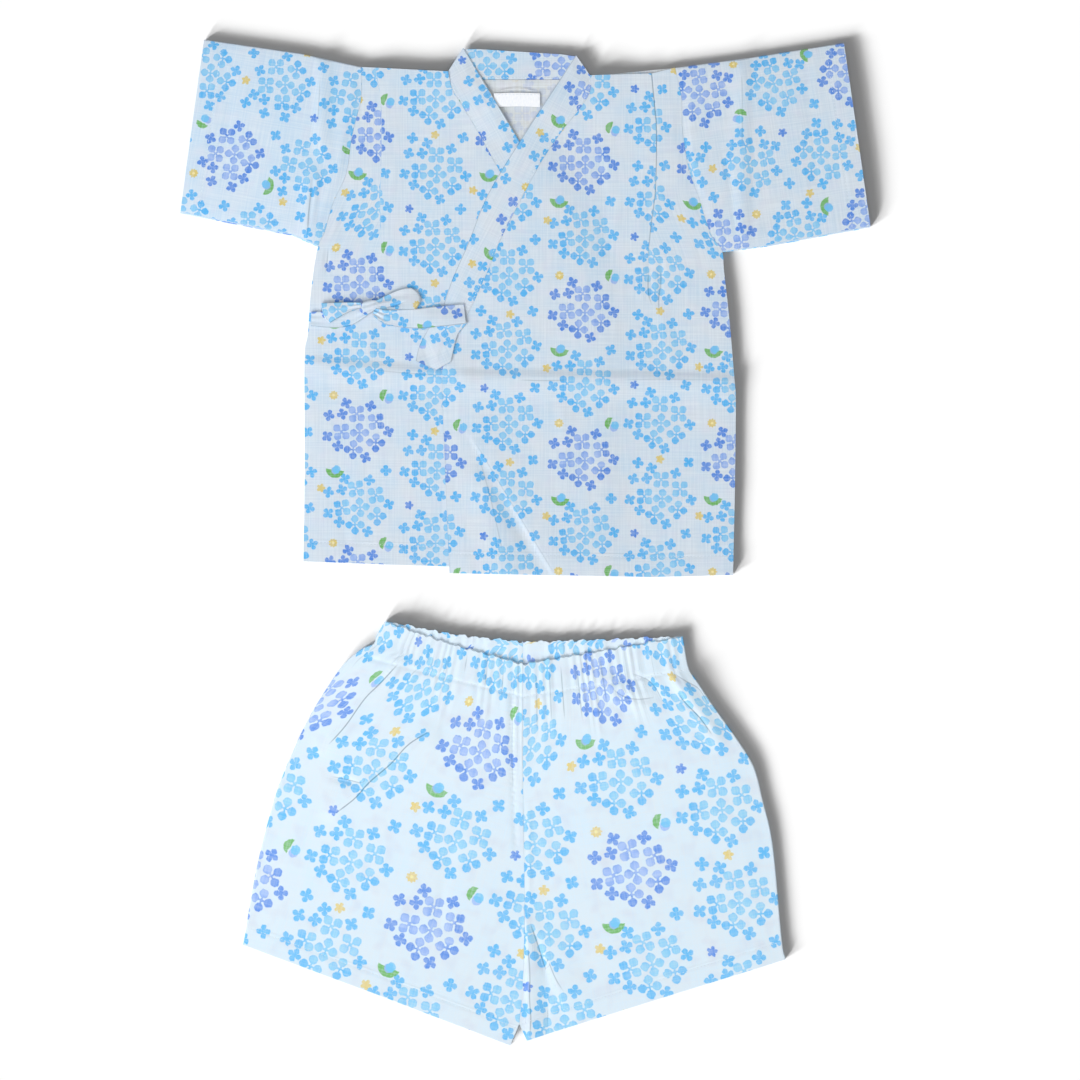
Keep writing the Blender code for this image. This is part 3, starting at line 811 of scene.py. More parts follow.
def flower_head(x, y, violet):
    """Ink of one head, and how full its colour is.

    A violet head (1) is sunny at its lower right, and a sky blue one (0) all along its foot.
    """
    heart = floret(*turned(x, y, math.pi / 4), **LARGE)
    lx, ly, k, c, s = ring_of_florets(x, y, LARGE_RING)
    spin = k.then("LESS_THAN", -0.5) * SUNNY_TURN + 0.06
    lx, ly = turned(lx, ly, spin)
    large = floret(lx, ly, **LARGE)
    sunny = c * (violet * 0.59 + 0.17) + s * (violet * 0.345 - 0.985) + 0.35 > violet * 0.35
    c, s = turned(c, s, spin)
    outer_petal = lx.then("SIGN") * c + ly.then("SIGN") * s > 0.0
    gx, gy, k = ring_of_florets(x, y, GAP_RING)[:3]
    in_gaps = floret(*turned(gx, gy, (k * 3.3 + 1.0).sin() * 0.6), **SMALL)
    ox, oy, k = ring_of_florets(x, y, SHADY_RING)[:3]
    outside = floret(*turned(ox, oy, k * 0.9 + 0.5), **SMALL) + (abs(k) > 1.5) * FAR_OFF
    outer = ink(in_gaps.least(outside))
    nearest = heart.least(large)
    full = outer.most(sunny * outer_petal * ink(large))
    blotch = noise(x / 5.5, y / 5.5 + 3.0) * 0.9 - 0.32
    pale = (nearest.ramp(1.3, 1.0) * 0.45).then("ADD", blotch, clamp=True)
    return ink(nearest).most(outer), (full * (1.0 - blotch * 0.25)).most(pale)


def far_out(x, y):
    """How far a point is from the middle: the root of the squares."""
    return (x * x + y * y) ** 0.5


def disc(x, y, centre_x, centre_y, radius):
    """Distance to a disc."""
    return far_out(x - centre_x, y - centre_y) - radius


print("one repeat of the print is", 2 * COLUMN_STEP, "x", 2 * ROW_STEP, "mm")

# %% [markdown]
# ## Between the flowers
#
# Each head has two gaps beside it where three heads meet. By turns they hold a round bud in a
# leaf, a daisy, a star or a single small floret, and two more yellow stars stand between heads.
# The leaf is a disc cut off by a straight line, with the bud and its violet underside in
# front. A star is a circle whose radius swells five times on its way round.

# %% Between the flowers
GAP_X = COLUMN_STEP / 3
GAP_Y = ROW_STEP / 2
Bud = namedtuple("Bud", "turn cut leaf under bud")      # discs are (x, y, radius)
UPRIGHT = Bud(-0.15, 0.9, (-0.3, 2.0, 7.9), (-0.1, 0.5, 3.3), (0.9, 1.4, 3.4))
ON_ITS_SIDE = Bud(-1.9, 0.2, (0.0, 0.6, 5.2), (2.6, 4.2, 3.2), (0.2, 4.4, 3.3))

SKY_FULL, SKY_PALE = shade(84, 174, 232), shade(136, 196, 232)
VIOLET_FULL, VIOLET_PALE = shade(80, 132, 214), shade(148, 176, 228)
LEAF_GREEN, BUD_BLUE = shade(104, 172, 88), shade(112, 188, 232)
YOLK, YOLK_PALE = shade(212, 192, 114), shade(234, 222, 168)
GROUND_COOL, GROUND_WARM = shade(192, 211, 227), shade(205, 214, 223)
BLUSH = shade(206, 208, 226)
# The white of the pale yarns, also used for the painted highlight beside a sharp crease.
YARN_AND_HIGHLIGHT_WHITE = shade(226, 234, 240)
# The colour of the painted shade along a sharp crease.
CREASE_PAINTED_SHADE = shade(66, 94, 112)
PAINTS = {"leaf": LEAF_GREEN, "under": VIOLET_PALE, "bud": BUD_BLUE, "daisy": YOLK,
          "eye": YOLK_PALE, "yellow": YOLK, "violet": VIOLET_FULL, "single": SKY_FULL}
CREASE_WIDTH = 0.8     # half the width of a sharp crease's line
SHORTS_SCALE = 1.25    # their print is this much larger
MOST_LIGHT = 0.93      # of what falls on it that an ink sends back


def bud_in_leaf(x, y, sizes):
    """Ink of the leaf with its straight side up, of the bud's underside, and of the bud."""
    x, y = turned(x, y, sizes.turn)
    leaf = disc(x, y, *sizes.leaf).most(y - sizes.cut)
    return [ink(shape) for shape in (leaf, disc(x, y, *sizes.under), disc(x, y, *sizes.bud))]


def five_points(x, y):
    """Distance to a star of five blunt points: its radius is 2.1 + 1.7 |cos(2.5 angle)|."""
    return far_out(x, y) - (abs((y.then("ARCTAN2", x) * 2.5).cos()) * 1.7 + 2.1)


def gap_motifs(x, y):
    """The shapes in the gaps: leaf and bud, daisy with its eye, stars and single florets."""
    gx, gy, column, row = lattice(x - GAP_X, y - GAP_Y, 1.2)
    with_bud = (1.0 - column.odd()) * (1.0 - row.odd())
    lying = bud_in_leaf(gx, gy, ON_ITS_SIDE)
    first = floret(*turned(gx, gy, row * 1.3 + column * 0.7), **SMALL)

    hx, hy, column, row = lattice(x + GAP_X, y - GAP_Y, 1.6)
    odd_column, odd_row = column.odd(), row.odd()
    upright = (1.0 - odd_column) * odd_row
    standing = bud_in_leaf(hx, hy, UPRIGHT)
    with_daisy = (1.0 - odd_column) * (1.0 - odd_row)
    far, petals = far_out(hx, hy), (hy.then("ARCTAN2", hx) * 9.0).cos()
    second = floret(*turned(hx, hy, 0.6), **SMALL)

    sx, sy, column, row = lattice(x, y + GAP_Y, 1.5)
    below = column.odd() * (1.0 - row.odd())
    tx, ty, column, row = lattice(x + COLUMN_STEP / 2, y + 0.75 * ROW_STEP, 1.5)
    beside = (1.0 - column.odd()) * (1.0 - row.odd())
    leaf, under, bud = (first_ink * with_bud + second_ink * upright
                        for first_ink, second_ink in zip(lying, standing))
    return {
        "leaf": leaf, "under": under, "bud": bud,
        "daisy": ink(far - (petals * 0.4 + 3.5)) * with_daisy,
        "eye": ink(far - 1.1) * with_daisy,
        "yellow": ink(five_points(sx, sy)) * below + ink(five_points(tx, ty)) * beside,
        "violet": ink(five_points(hx, hy)) * odd_column * (1.0 - odd_row),
        "single": ink(first) * (1.0 - with_bud) + ink(second) * odd_column * odd_row,
    }


def weave(x, y):
    """Slub yarn both ways: noise drawn out along each yarn. How pale, and how high."""
    warp, weft = noise(x / 1.1, y / 34.0), noise(x / 34.0, y / 1.1)
    slub = noise(x / 1.7, y / 26.0).most(noise(x / 26.0, y / 1.7 + 7.0)).ramp(5.0, -3.2)
    crossing = (x * 10.0).sin() * (y * 10.0).sin()
    pale = (warp + weft).ramp(1.3, -0.85) + slub * 0.32
    return pale, (warp + weft) * 0.32 + slub * 0.2 + crossing * 0.06


def lighter(colour, gain):
    """The same ink, sending back more light by a gain, and never more than nearly all of it."""
    return (*(min(gain * part, MOST_LIGHT) for part in colour[:3]), 1.0)


def printed(finish, x, y, ground, strength, gain):
    """The ground with all its motifs, in colours that the pale yarns break up."""
    yarns, height = weave(x, y)
    tremble = noise(x / 1.9, y / 1.9) - 0.5
    px, py = x + tremble * 0.8, y - tremble * 0.8
    hx, hy, column, row = lattice(px, py, 0.6)
    lean = (column * 2.6 + row * 1.7).sin() * 0.1
    violet = (1.0 - column.odd()) * (1.0 - row.odd())
    head, tone = flower_head(*turned(hx, hy, lean), violet)
    motifs = gap_motifs(px, py)
    hold = (1.0 - yarns * 0.24) * strength
    pale, full = (finish.mix(violet, *(lighter(paint, gain) for paint in pair))
                  for pair in ((SKY_PALE, VIOLET_PALE), (SKY_FULL, VIOLET_FULL)))
    colour = finish.mix(yarns * 0.36, ground, YARN_AND_HIGHLIGHT_WHITE)
    colour = finish.mix(head * hold, colour, finish.mix(tone, pale, full))
    for shape, paint in PAINTS.items():
        colour = finish.mix(motifs[shape] * hold, colour, lighter(paint, gain))
    return colour, yarns, height


def painted_crease_lines(finish):
    """A sharp crease: a line of painted shade, and a painted highlight beside it."""
    gap, depth = (Value(finish, finish.node("ShaderNodeAttribute", {"attribute_name": label})
                        .outputs["Fac"]) for label in ("crease_gap", "crease_depth"))
    return [abs(aside).ramp(-1.0 / CREASE_WIDTH, 1.0) * depth for aside in (gap, gap + 1.3)]


def cloth(name, scale, cool, warm, strength=1.0, gain=1.0):
    """Slub cotton: patchy ground, print, painted crease shade and highlight, dull threads, weave
    bump.
    """
    finish = Finish(name)
    x, y = finish.cloth_place(scale)
    patch = noise(x / 26.0, y / 26.0, detail=2.0).ramp(2.4, -0.7)
    blush = noise(x / 12.0 + 5.0, y / 12.0, detail=1.0).ramp(3.0, -1.5)
    ground = finish.mix(blush * 0.35, finish.mix(patch, cool, warm), BLUSH)
    colour, yarns, height = printed(finish, x, y, ground, strength, gain)
    # Sharp creases are painted into the colour: a line of shade and a highlight beside it.
    dark, bright = painted_crease_lines(finish)
    colour = finish.mix(bright * 0.40, colour, YARN_AND_HIGHLIGHT_WHITE)
    colour = finish.mix(dark * 0.75, colour, CREASE_PAINTED_SHADE)
    finish.look("Base Color", colour)
    finish.look("Roughness", yarns * 0.08 + 0.84)
    finish.bump(height, 0.00025, 0.35)
    return finish.material


jacket_cloth = cloth("jacket_cloth", 1.0, GROUND_COOL, GROUND_WARM)
# A bluer copy of the jacket's cloth for the right sleeve: painted cool light from the window side.
painted_cool_light_cloth = cloth("jacket_cloth_cool", 1.0, shade(190, 213, 232), shade(202, 217, 231))
jacket_wrong = cloth("jacket_wrong_side", 1.0, shade(198, 206, 209), shade(206, 208, 208), 0.18)
shorts_cloth = cloth("shorts_cloth", SHORTS_SCALE, shade(216, 236, 250), shade(221, 236, 246),
                     0.93, 1.20)
shorts_wrong = cloth("shorts_wrong_side", SHORTS_SCALE, shade(206, 214, 220),
                     shade(211, 214, 218), 0.22)
print(len(jacket_cloth.node_tree.nodes), "nodes make the jacket's cloth")

# %% [markdown]
# ## Tape, thread and floor
#
# The label is a woven tape with a slight shine and nothing on it. Sewing thread is cotton, and
# catches the light a little more than the cloth. The floor is pale and even.

# %% Tape, thread and floor
def label_finish():
    """Tape: narrow ribs across it, which shine a little where they stand up."""
    finish = Finish("label_tape")
    x, y = finish.cloth_place(1.0)
    rib = (x * 14.0).sin() * 0.5 + 0.5
    fleck = noise(x / 0.7, y / 3.0)
    finish.look("Base Color", finish.mix(fleck, shade(236, 240, 246), shade(250, 251, 253)))
    finish.look("Roughness", rib * -0.12 + 0.58)
    finish.bump(rib * 0.6 + fleck * 0.4, 0.00012, 0.5)
    return finish.material


def thread_finish():
    """Thread: a bright twist, from the object's own place."""
    finish = Finish("sewing_thread")
    place = finish.node("ShaderNodeTexCoord").outputs["Object"]
    parts = finish.node("ShaderNodeSeparateXYZ", sockets={0: place})
    across = Value(finish, parts.outputs[0]) + Value(finish, parts.outputs[1])
    twist = (across * 9000.0).sin() * 0.5 + 0.5
    finish.look("Base Color", finish.mix(twist, shade(214, 226, 240), shade(240, 246, 252)))
    finish.look("Roughness", 0.6)
    return finish.material


def floor_finish():
    """A pale matt board with a very faint tooth."""
    finish = Finish("pale_floor")
    place = finish.node("ShaderNodeTexCoord").outputs["Object"]
    tooth = finish.node("ShaderNodeTexNoise", sockets={"Vector": place, "Scale": 90.0})
    finish.look("Roughness", Value(finish, tooth.outputs[0]) * 0.1 + 0.85)
    finish.look("Base Color", shade(250, 250, 250))
    finish.look("Specular IOR Level", 0.0)
    return finish.material


label_tape, sewing_thread = label_finish(), thread_finish()
FLOOR_HALF = 4.0
corners = [(x * FLOOR_HALF, y * FLOOR_HALF, 0.0) for x, y in ((-1, -1), (1, -1), (1, 1), (-1, 1))]
floor = placed("floor", mesh_of("floor", corners, [(0, 1, 2, 3)], [floor_finish()]))
print("the floor is", 2 * FLOOR_HALF, "m wide")

# %% [markdown]
# ## Laying a piece
#
# Most pieces are one plan laid on the heap. The cloth itself is thin. Along hems and seams it
# is folded or joined, so there the shell is as thick as the room that its solid gives it.

# %% Laying a piece
SEAM_ALLOWANCE = 8.0
PRESSED_CLOTH = 0.45   # the thinnest that an ironed edge gets
HEM_JACKET = 18.0
ARMPIT_SHARE = 0.636   # of the height from hem to shoulder
BAND_FOOT = ARMPIT_SHARE * 7 / 11    # where the neck bands end
BOTH_PRINTED = (jacket_cloth, jacket_cloth)
EDGES = ("first row", "last row", "first column", "last column")


def shares(*spans):
    """Rows as shares of a height: even steps up to each span's end."""
    places = [0.0]
    for end, count in spans:
        places += list(np.linspace(places[-1], end, count + 1)[1:])
    return np.array(places)


def with_height(plan, height):
    """Places seen from above, each with a height."""
    return np.concatenate([plan, height[..., None]], axis=2)


def edge_thickness(plan, room, thin):
    """The shell's thickness: the whole room near an edge, and one cloth away from it."""
    gap = np.min([length_from(plan, edge) for edge in EDGES], axis=0)
    near_edge = 1.0 - smooth((gap - SEAM_ALLOWANCE / 2) / SEAM_ALLOWANCE)
    return CLOTH + (room - CLOTH) * near_edge * (1.0 - thin)


def lay(node, plan, cloth_map, rests_on, room=WALL, added=0.0, materials=BOTH_PRINTED,
        solid=False, armhole=0.0, thin=0.0, pressed=0.0, sharp=None,
        reach=BRIDGE_CELLS):
    """A flat piece laid on the heap, in the room above what is beneath it.

    Where armhole is 1 it meets the sleeve at the sleeve's own level. Where thin is 1 its edge
    is no thicker than one cloth. pressed is how much it is flattened there by the iron.
    """
    high = heap.under(plan, reach) + room + added - pressed
    high = high * (1.0 - armhole) + TUBE_HIGH * armhole
    thick = room if solid else edge_thickness(plan, room, thin)
    low = high - np.maximum(thick - pressed, PRESSED_CLOTH)
    piece = shell(node, with_height(plan, high), with_height(plan, low), cloth_map, materials,
                  sharp=sharp)
    sewn_in(piece, node, cloth_map, rests_on)
    return with_height(plan, high)


print("a sleeve lies", round(TUBE_HIGH, 1), "mm high at its folded sides")

# %% [markdown]
# ## The jacket's edges
#
# These are the seams and edges of the jacket as it lies. "Right" and "left" are the wearer's
# own, so the right side lies on the left of the picture. The left front crosses over the right.

# %% The jacket's edges
SIDE_RIGHT = line((-186.6, -14.6), (-185.5, 70.6), (-185.7, 155), (-183, 176),
                  (-180.4, 211), (-175, 247))
ARMHOLE_RIGHT = line((-175, 247), (-168.5, 262.9), (-162, 285.6), (-151, 310),
                     (-146.5, 338.4), (-143, 354.5), (-138.4, 373.1), (-137.6, 400.3))
SIDE_LEFT = line((174, -26), (175.6, 46.5), (176.3, 119.4), (175, 140),
                 (171.1, 186.8), (166.5, 228.7), (164.7, 246))
ARMHOLE_LEFT = line((164.7, 246), (155.9, 258.7), (150.5, 273.8), (145.5, 290.5),
                    (137.1, 313.3), (132.9, 336.8), (131.2, 352), (130.5, 375.5),
                    (125.3, 399.8))
OVER_FREE = line((-71, 148), (-71, 180), (-68.7, 200.8), (-61.3, 222.9),
                 (-48.4, 252.4), (-35.4, 285.6), (-23, 309), (-4.9, 337.9),
                 (42.2, 410.3))
OVER_SEAM = line((-69.5, 148), (-62.2, 161.3), (-57, 176.7), (-42.4, 205.3),
                 (-29.5, 234.8), (-19.3, 259.2), (6.5, 309), (17.6, 327.9),
                 (31.5, 348), (47, 367.6), (54.5, 381.4), (54, 393.3))
UNDER_FREE = line((61, 148), (61, 180), (58.7, 200.8), (51.3, 222.9),
                  (38.4, 252.4), (25.4, 285.6), (13, 309), (-5.1, 337.7),
                  (-52.5, 416.5))
UNDER_SEAM = line((59.5, 148), (52.2, 161.3), (46, 176.7), (32.4, 205.3),
                  (19.5, 234.8), (9, 259.2), (-19.7, 309), (-36.4, 339.4),
                  (-54.5, 369.7), (-61.5, 381.4), (-65.2, 396.6))
OVER_EDGE = line((-64, -24.5), (-66.5, 30), (-68.7, 87.4), (-70.5, 130))
UNDER_EDGE = line((60, -23), (60.5, 60), (60.5, 130))
TUCK_RIGHT = line((-118, -17.2), (-118, 100), (-118.3, 220.1), (-121, 250),
                  (-122, 286.4), (-120.8, 339.4), (-121.6, 373), (-126, 399.8))
TUCK_LEFT = line((106, -27.7), (104, 100), (102.5, 223.4), (104, 260),
                 (108.5, 297.4), (109.4, 345), (108.1, 364.6), (105.2, 394.9))
BACK_RIGHT_NECK = line((-64, -19), (-64, 393))
BACK_RIGHT_FALL = line((-50, -21), (-50, 389.6))
BACK_LEFT_FALL = line((44, -25.5), (44, 389.6))
BACK_LEFT_NECK = line((56, -26), (56, 393))
NECK_SEAM = line((-62, 392.7), (-50, 389.8), (44, 389.8), (51.5, 392))
NECK_TOP = line((-53.5, 415.2), (-40, 415.4), (30, 411), (41.5, 409.2))

body_right = joined(SIDE_RIGHT, ARMHOLE_RIGHT)
body_left = joined(SIDE_LEFT, ARMHOLE_LEFT)
print("the jacket is", round(SIDE_LEFT[0].x - SIDE_RIGHT[0].x), "mm wide at its hem")

# %% [markdown]
# ## Back, neck band and label
#
# The back lies face down, so what shows inside the neck is its greyish wrong side, where the
# print comes through faintly. The back of the neck band stands above it with its right side
# out, and a small tape is sewn below their seam. The back could be a flat rectangle, but its
# hem and armholes show from below and beside, so it gets the same care as the fronts.

# %% Back, neck band and label
NECK_LINE = 389.8      # height of the seam across the back of the neck
NECK_MIDDLE = -3.0
NECK_HALF = 60.0       # half the width in which the seam's stitches show
NECK_STITCH = 6.5      # below the neck seam
NECK_RISE = 1.0        # the seam's allowances fill up the neck
NECK_FALL = 24.0       # the height over which they thin out again
BAND_TURN = math.pi / 2      # the band is cut across the cloth
LABEL_CORNERS = ((-27, 366.6), (12, 378))
LABEL_BOW = 0.5        # the middle of the label stands higher than its ends
HANGER = (Crease(0.9, 1.1, line((-27, 377), (-18, 381.2), (-6, 382.6), (6, 380.2),
                                (13, 376.6))),
          Crease(0.5, 0.9, line((-24, 379.6), (-12, 377.9), (2, 379), (10, 378))))

plan = loft([moved(body_right, SEAM), BACK_RIGHT_NECK, BACK_RIGHT_FALL, BACK_LEFT_FALL,
             BACK_LEFT_NECK, moved(body_left, -SEAM)], (34, 6, 47, 6, 34),
            shares((0.06, 22), (0.86, 100), (1, 46)))
x, below_neck = plan[..., 0], NECK_LINE - plan[..., 1]
stitched = ((np.abs(x - NECK_MIDDLE) < NECK_HALF)
            * np.exp(-((below_neck - NECK_STITCH) / HEM_STEP) ** 2))
filled = smooth(1.0 - below_neck / NECK_FALL) * smooth((70.0 - abs(x)) / 20.0)
added = (0.35 * unevenness(plan, 11) + creases_height(plan, HANGER) - 0.25 * stitched
         + 0.4 * hem_height(length_from(plan, "first row"), HEM_JACKET) + NECK_RISE * filled)
back = lay("back", plan, on_cloth(plan, (12, 236)), [], added=added,
           materials=[jacket_wrong, jacket_cloth])

plan = loft(list(zip(NECK_SEAM, NECK_TOP)), (6, 45, 6), even(15)) + np.array([0.0, SEAM])
band = lay("band_back", plan, on_cloth(plan, (30, 401), BAND_TURN), ["back"], BAND_WALL,
           NECK_RISE + 0.25 * unevenness(plan, 17), solid=True)
heap.cover(back, band)

(left, bottom), (right, top) = LABEL_CORNERS
plan = loft([line((x, bottom), (x, top)) for x in (left, right)], (26,), even(10))
bow = LABEL_BOW * np.sin(math.pi * (plan[..., 0] - left) / (right - left))
plan[..., 1] += bow
heap.cover(lay("label", plan, on_cloth(plan, (left, bottom)), ["back"], added=0.15 * bow,
               materials=[label_tape] * 2, solid=True))

# %% [markdown]
# ## The fronts
#
# A tuck runs down over each shoulder and takes in the width for a smaller child. Its folded
# edge is a thin step in the cloth, and the print jumps there, because a strip of cloth is
# hidden inside. Below its end the hidden cloth opens out again. Each front also has the fold
# that it was packed with, a hem, and creases at the underarm. Its neck band is a strip folded
# double, whose free edge is the fold. One table holds what differs between the two halves.

# %% The fronts
TUCK_DROP = 0.5        # width of the sharp side of a tuck
TUCK_FLAT = 9.0        # how wide its layers lie, and over how much they then fall away
TUCK_END = (228, 262)  # it runs out between these heights
TUCK_FULL = 302.0      # above this height all of its cloth is inside
# The line of painted shade along a tuck's folded edge is faint below its full height.
TUCK_FAINT = 0.6       # and below it the folded edge shows only this much
TUCK_SHADE_RAMP = 60.0    # height over which the folded edge comes to its full darkness
TUCK_TAKES = 20.0      # width of cloth inside a tuck
BODY_ROWS = shares((0.06, 26), (BAND_FOOT, 78), (ARMPIT_SHARE, 52), (1, 82))
EDGE_HEM = 8.0         # hem of the front's own edge
EDGE_PRESSED = 0.75    # by so much it is ironed down on what is beneath it
EDGE_REACH = 14.0      # and over this width
BAND_PRESSED_REACH = 9.0
BAND_TIP_PRESSED = 1.2
BAND_TIP_REACH = 16.0
BAND_COLUMNS = 14
BELOW_BAND = (138, 148)      # the free edge ends between these heights, under the band
ARMPIT_HEIGHT = 246.0

# A tuck rises on the neck's side of its line, its folded edge gets a line of painted shade, and
# its cloth has all come out where it opens.
Tuck = namedtuple("Tuck", "path rise dark opens")
Half = namedtuple("Half", "inward body tuck edge seam free columns rests_on centre seed "
                          "band_tilt band_centre band_seed")
HALVES = {
    "right": Half(1, body_right, Tuck(TUCK_RIGHT, 0.15, 0.10, 238.0), UNDER_EDGE, UNDER_SEAM,
                  UNDER_FREE, (28, 3, 66), "back", (-139.3, 217.6), 23, 29.5, (-58, 330), 41),
    "left": Half(-1, body_left, Tuck(TUCK_LEFT, 0.35, 0.62, 222.0), OVER_EDGE, OVER_SEAM,
                 OVER_FREE, (34, 3, 74), "front_right", (49.7, 194.1), 31, -27.0, (5, 262), 43),
}

FRONT_FOLDS = {
    "front_right": [Fold(-182, 151, -62, 141, 1.7, 9, 20)],
    "front_left": [Fold(-58, 140, 174, 137, 1.8, 9, 24),
                   Fold(-46, 91, 27, -30, 0.95, 42, 4.0),
                   Fold(-38, 62, -14, -36, 1.6, 24, 24)],
}
# Sharp creases are not raised: each is painted as a line of shade with a highlight beside it.
FRONT_SHARP = {
    "front_right": [Sharp(0.30, line((-72, 141.4), (-100, 143.4), (-130, 146))),
                    Sharp(0.45, line((-165.8, 252), (-166.6, 238), (-168.9, 224)))],
    "front_left": [Sharp(0.40, line((38, 137.4), (16, 136.9), (-8, 137.6))),
                   Sharp(0.25, line((170, 137.2), (120, 138.2), (80, 137.6))),
                   Sharp(0.50, line((103.6, 232), (102.6, 219), (103.4, 208), (107, 198))),
                   Sharp(0.45, line((113.6, 232), (113.1, 216.7), (111.4, 205.2), (112.2, 190))),
                   Sharp(0.26, line((24.7, -26.2), (-10, 31), (-44.1, 87.9))),
                   Sharp(0.30, line((-42.5, 84), (-30, 40), (-19, -8)))],
}
FRONT_CREASES = {
    "front_right": [
        Crease(-0.8, 2.4, line((-166.2, 251), (-167, 237), (-168.7, 226))),
        Crease(-0.6, 3.5, line((-147.7, 290.6), (-151.9, 279.7), (-154.4, 268), (-157, 256))),
        Crease(0.6, 6.0, line((-126, 214), (-131, 180), (-134, 150))),
        Crease(-0.5, 4.0, line((-110, 215), (-106, 190), (-104, 172))),
        Crease(-0.5, 5.0, line((-150, 60), (-152, 20), (-151, -8)))],
    "front_left": [
        Crease(-0.8, 2.2, line((114.4, 240), (113.6, 220), (113.1, 197))),
        Crease(-0.6, 2.6, line((102.8, 246), (104, 225), (105.4, 202))),
        Crease(0.5, 6.0, line((112, 205), (118, 175), (121, 150))),
        Crease(-0.7, 5.0, line((-40, 72), (-21, 36), (0, 2), (17, -28))),
        Crease(-0.5, 3.0, line((158, 250), (148, 236), (140, 226))),
        Crease(-0.4, 5.0, line((60, 330), (66, 280), (70, 235))),
        Crease(0.4, 6.0, line((30, 120), (34, 70), (30, 20)))],
}


def tuck_layers(plan, half):
    """How high a tuck's layers lie, from 0 to 1, how far off its line, and where it shows."""
    path = curve(half.tuck.path)
    side = (plan[..., 0] - np.interp(plan[..., 1], path[:, 1], path[:, 0])) * half.inward
    low, high = TUCK_END
    shown = smooth((plan[..., 1] - low) / (high - low))
    layers = smooth(1.0 + side / TUCK_DROP) * (1.0 - smooth((side - TUCK_FLAT) / TUCK_FLAT))
    return layers * shown, side, shown


def front_of_jacket(node, half, edge):
    """A front in its relief, laid with the print moved by the cloth inside its tuck.

    The lines run from the side to the neck, and are turned round where that is leftwards.
    """
    tuck, inward = half.tuck, half.inward
    lines = [moved(half.body, inward * SEAM), moved(tuck.path, -inward * TUCK_DROP), tuck.path,
             moved(edge, -inward * SEAM)]
    plan = loft(lines[::inward], half.columns[::inward], BODY_ROWS)
    neck_edge, side_edge = ("first column", "last column")[::-inward]
    height = plan[..., 1]
    at_side = 1.0 - smooth(length_from(plan, side_edge) / SEAM_ALLOWANCE)
    to_edge = length_from(plan, neck_edge)
    low, high = BELOW_BAND
    below_band = 1.0 - smooth((height - low) / (high - low))
    pressed = (1.0 - smooth(to_edge / EDGE_REACH)) * below_band
    layers, side, shown = tuck_layers(plan, half)
    added = (tuck.rise * layers + folds_height(plan, FRONT_FOLDS[node])
             + creases_height(plan, FRONT_CREASES[node]) + 0.6 * unevenness(plan, half.seed)
             + hem_height(length_from(plan, "first row"), HEM_JACKET)
             + 0.8 * hem_height(to_edge, EDGE_HEM) * below_band - 0.85 * CLEAR * at_side)
    place = plan.copy()
    place[..., 0] -= (inward * TUCK_TAKES * smooth(-side / TUCK_DROP)
                      * smooth((height - tuck.opens) / (TUCK_FULL - tuck.opens)))
    # The tuck's folded edge and the front's neck edge get lines of painted shade.
    line_gap = side + TUCK_DROP / 2
    dark = TUCK_FAINT + (1.0 - TUCK_FAINT) * smooth((height - TUCK_FULL) / TUCK_SHADE_RAMP)
    sharp = deeper(sharp_creases(plan, FRONT_SHARP[node]),
                   (line_gap, tuck.dark * near_line(line_gap) * shown * dark))
    edge_gap, edge_shade = painted_edge_shade(plan, [neck_edge], 0.22)
    return lay(node, plan, on_cloth(place, half.centre), [half.rests_on], added=added,
               materials=[jacket_cloth, jacket_wrong], thin=pressed,
               armhole=at_side * smooth((height - ARMPIT_HEIGHT) / SEAM_ALLOWANCE),
               pressed=EDGE_PRESSED * pressed,
               sharp=deeper(sharp, (edge_gap, edge_shade * below_band)))


def neck_band(node, half, edge):
    """A strip folded double: its free edge is the fold, and its seam joins the front."""
    above = BODY_ROWS[BODY_ROWS >= BAND_FOOT - TINY]
    lines = [moved(rungs(edge, above), half.inward * SEAM), half.free]
    plan = loft(lines[::half.inward], (BAND_COLUMNS,), (above - BAND_FOOT) / (1.0 - BAND_FOOT))
    fold = ("first column", "last column")[half.inward > 0]
    flat = 1.0 - smooth(length_from(plan, fold) / BAND_PRESSED_REACH)
    tip = 1.0 - smooth(length_from(plan, "last row") / BAND_TIP_REACH)
    # The band's folded edge gets a line of painted shade.
    return lay(node, plan, on_cloth(plan, half.band_centre, math.radians(half.band_tilt)),
               [half.rests_on], BAND_WALL, 0.35 * unevenness(plan, half.band_seed), solid=True,
               pressed=np.maximum(EDGE_PRESSED * flat, BAND_TIP_PRESSED * tip),
               sharp=painted_edge_shade(plan, [fold], 0.55))


for side, half in HALVES.items():
    edge = joined(half.edge, half.seam)
    heap.cover(front_of_jacket("front_" + side, half, edge), neck_band("band_" + side, half, edge))

# %% [markdown]
# ## Flat tubes
#
# A sleeve and a leg are tubes of cloth pressed flat. Their surface goes over the top, round a
# half circle at the folded side, and back underneath. The print goes round with it: the place
# on the cloth carries on by the distance travelled. On a sleeve it starts at the shoulder both
# ways and meets at the underarm, where the real seam is.

# %% Flat tubes
NOSE_STEPS = 6         # facets round a folded side


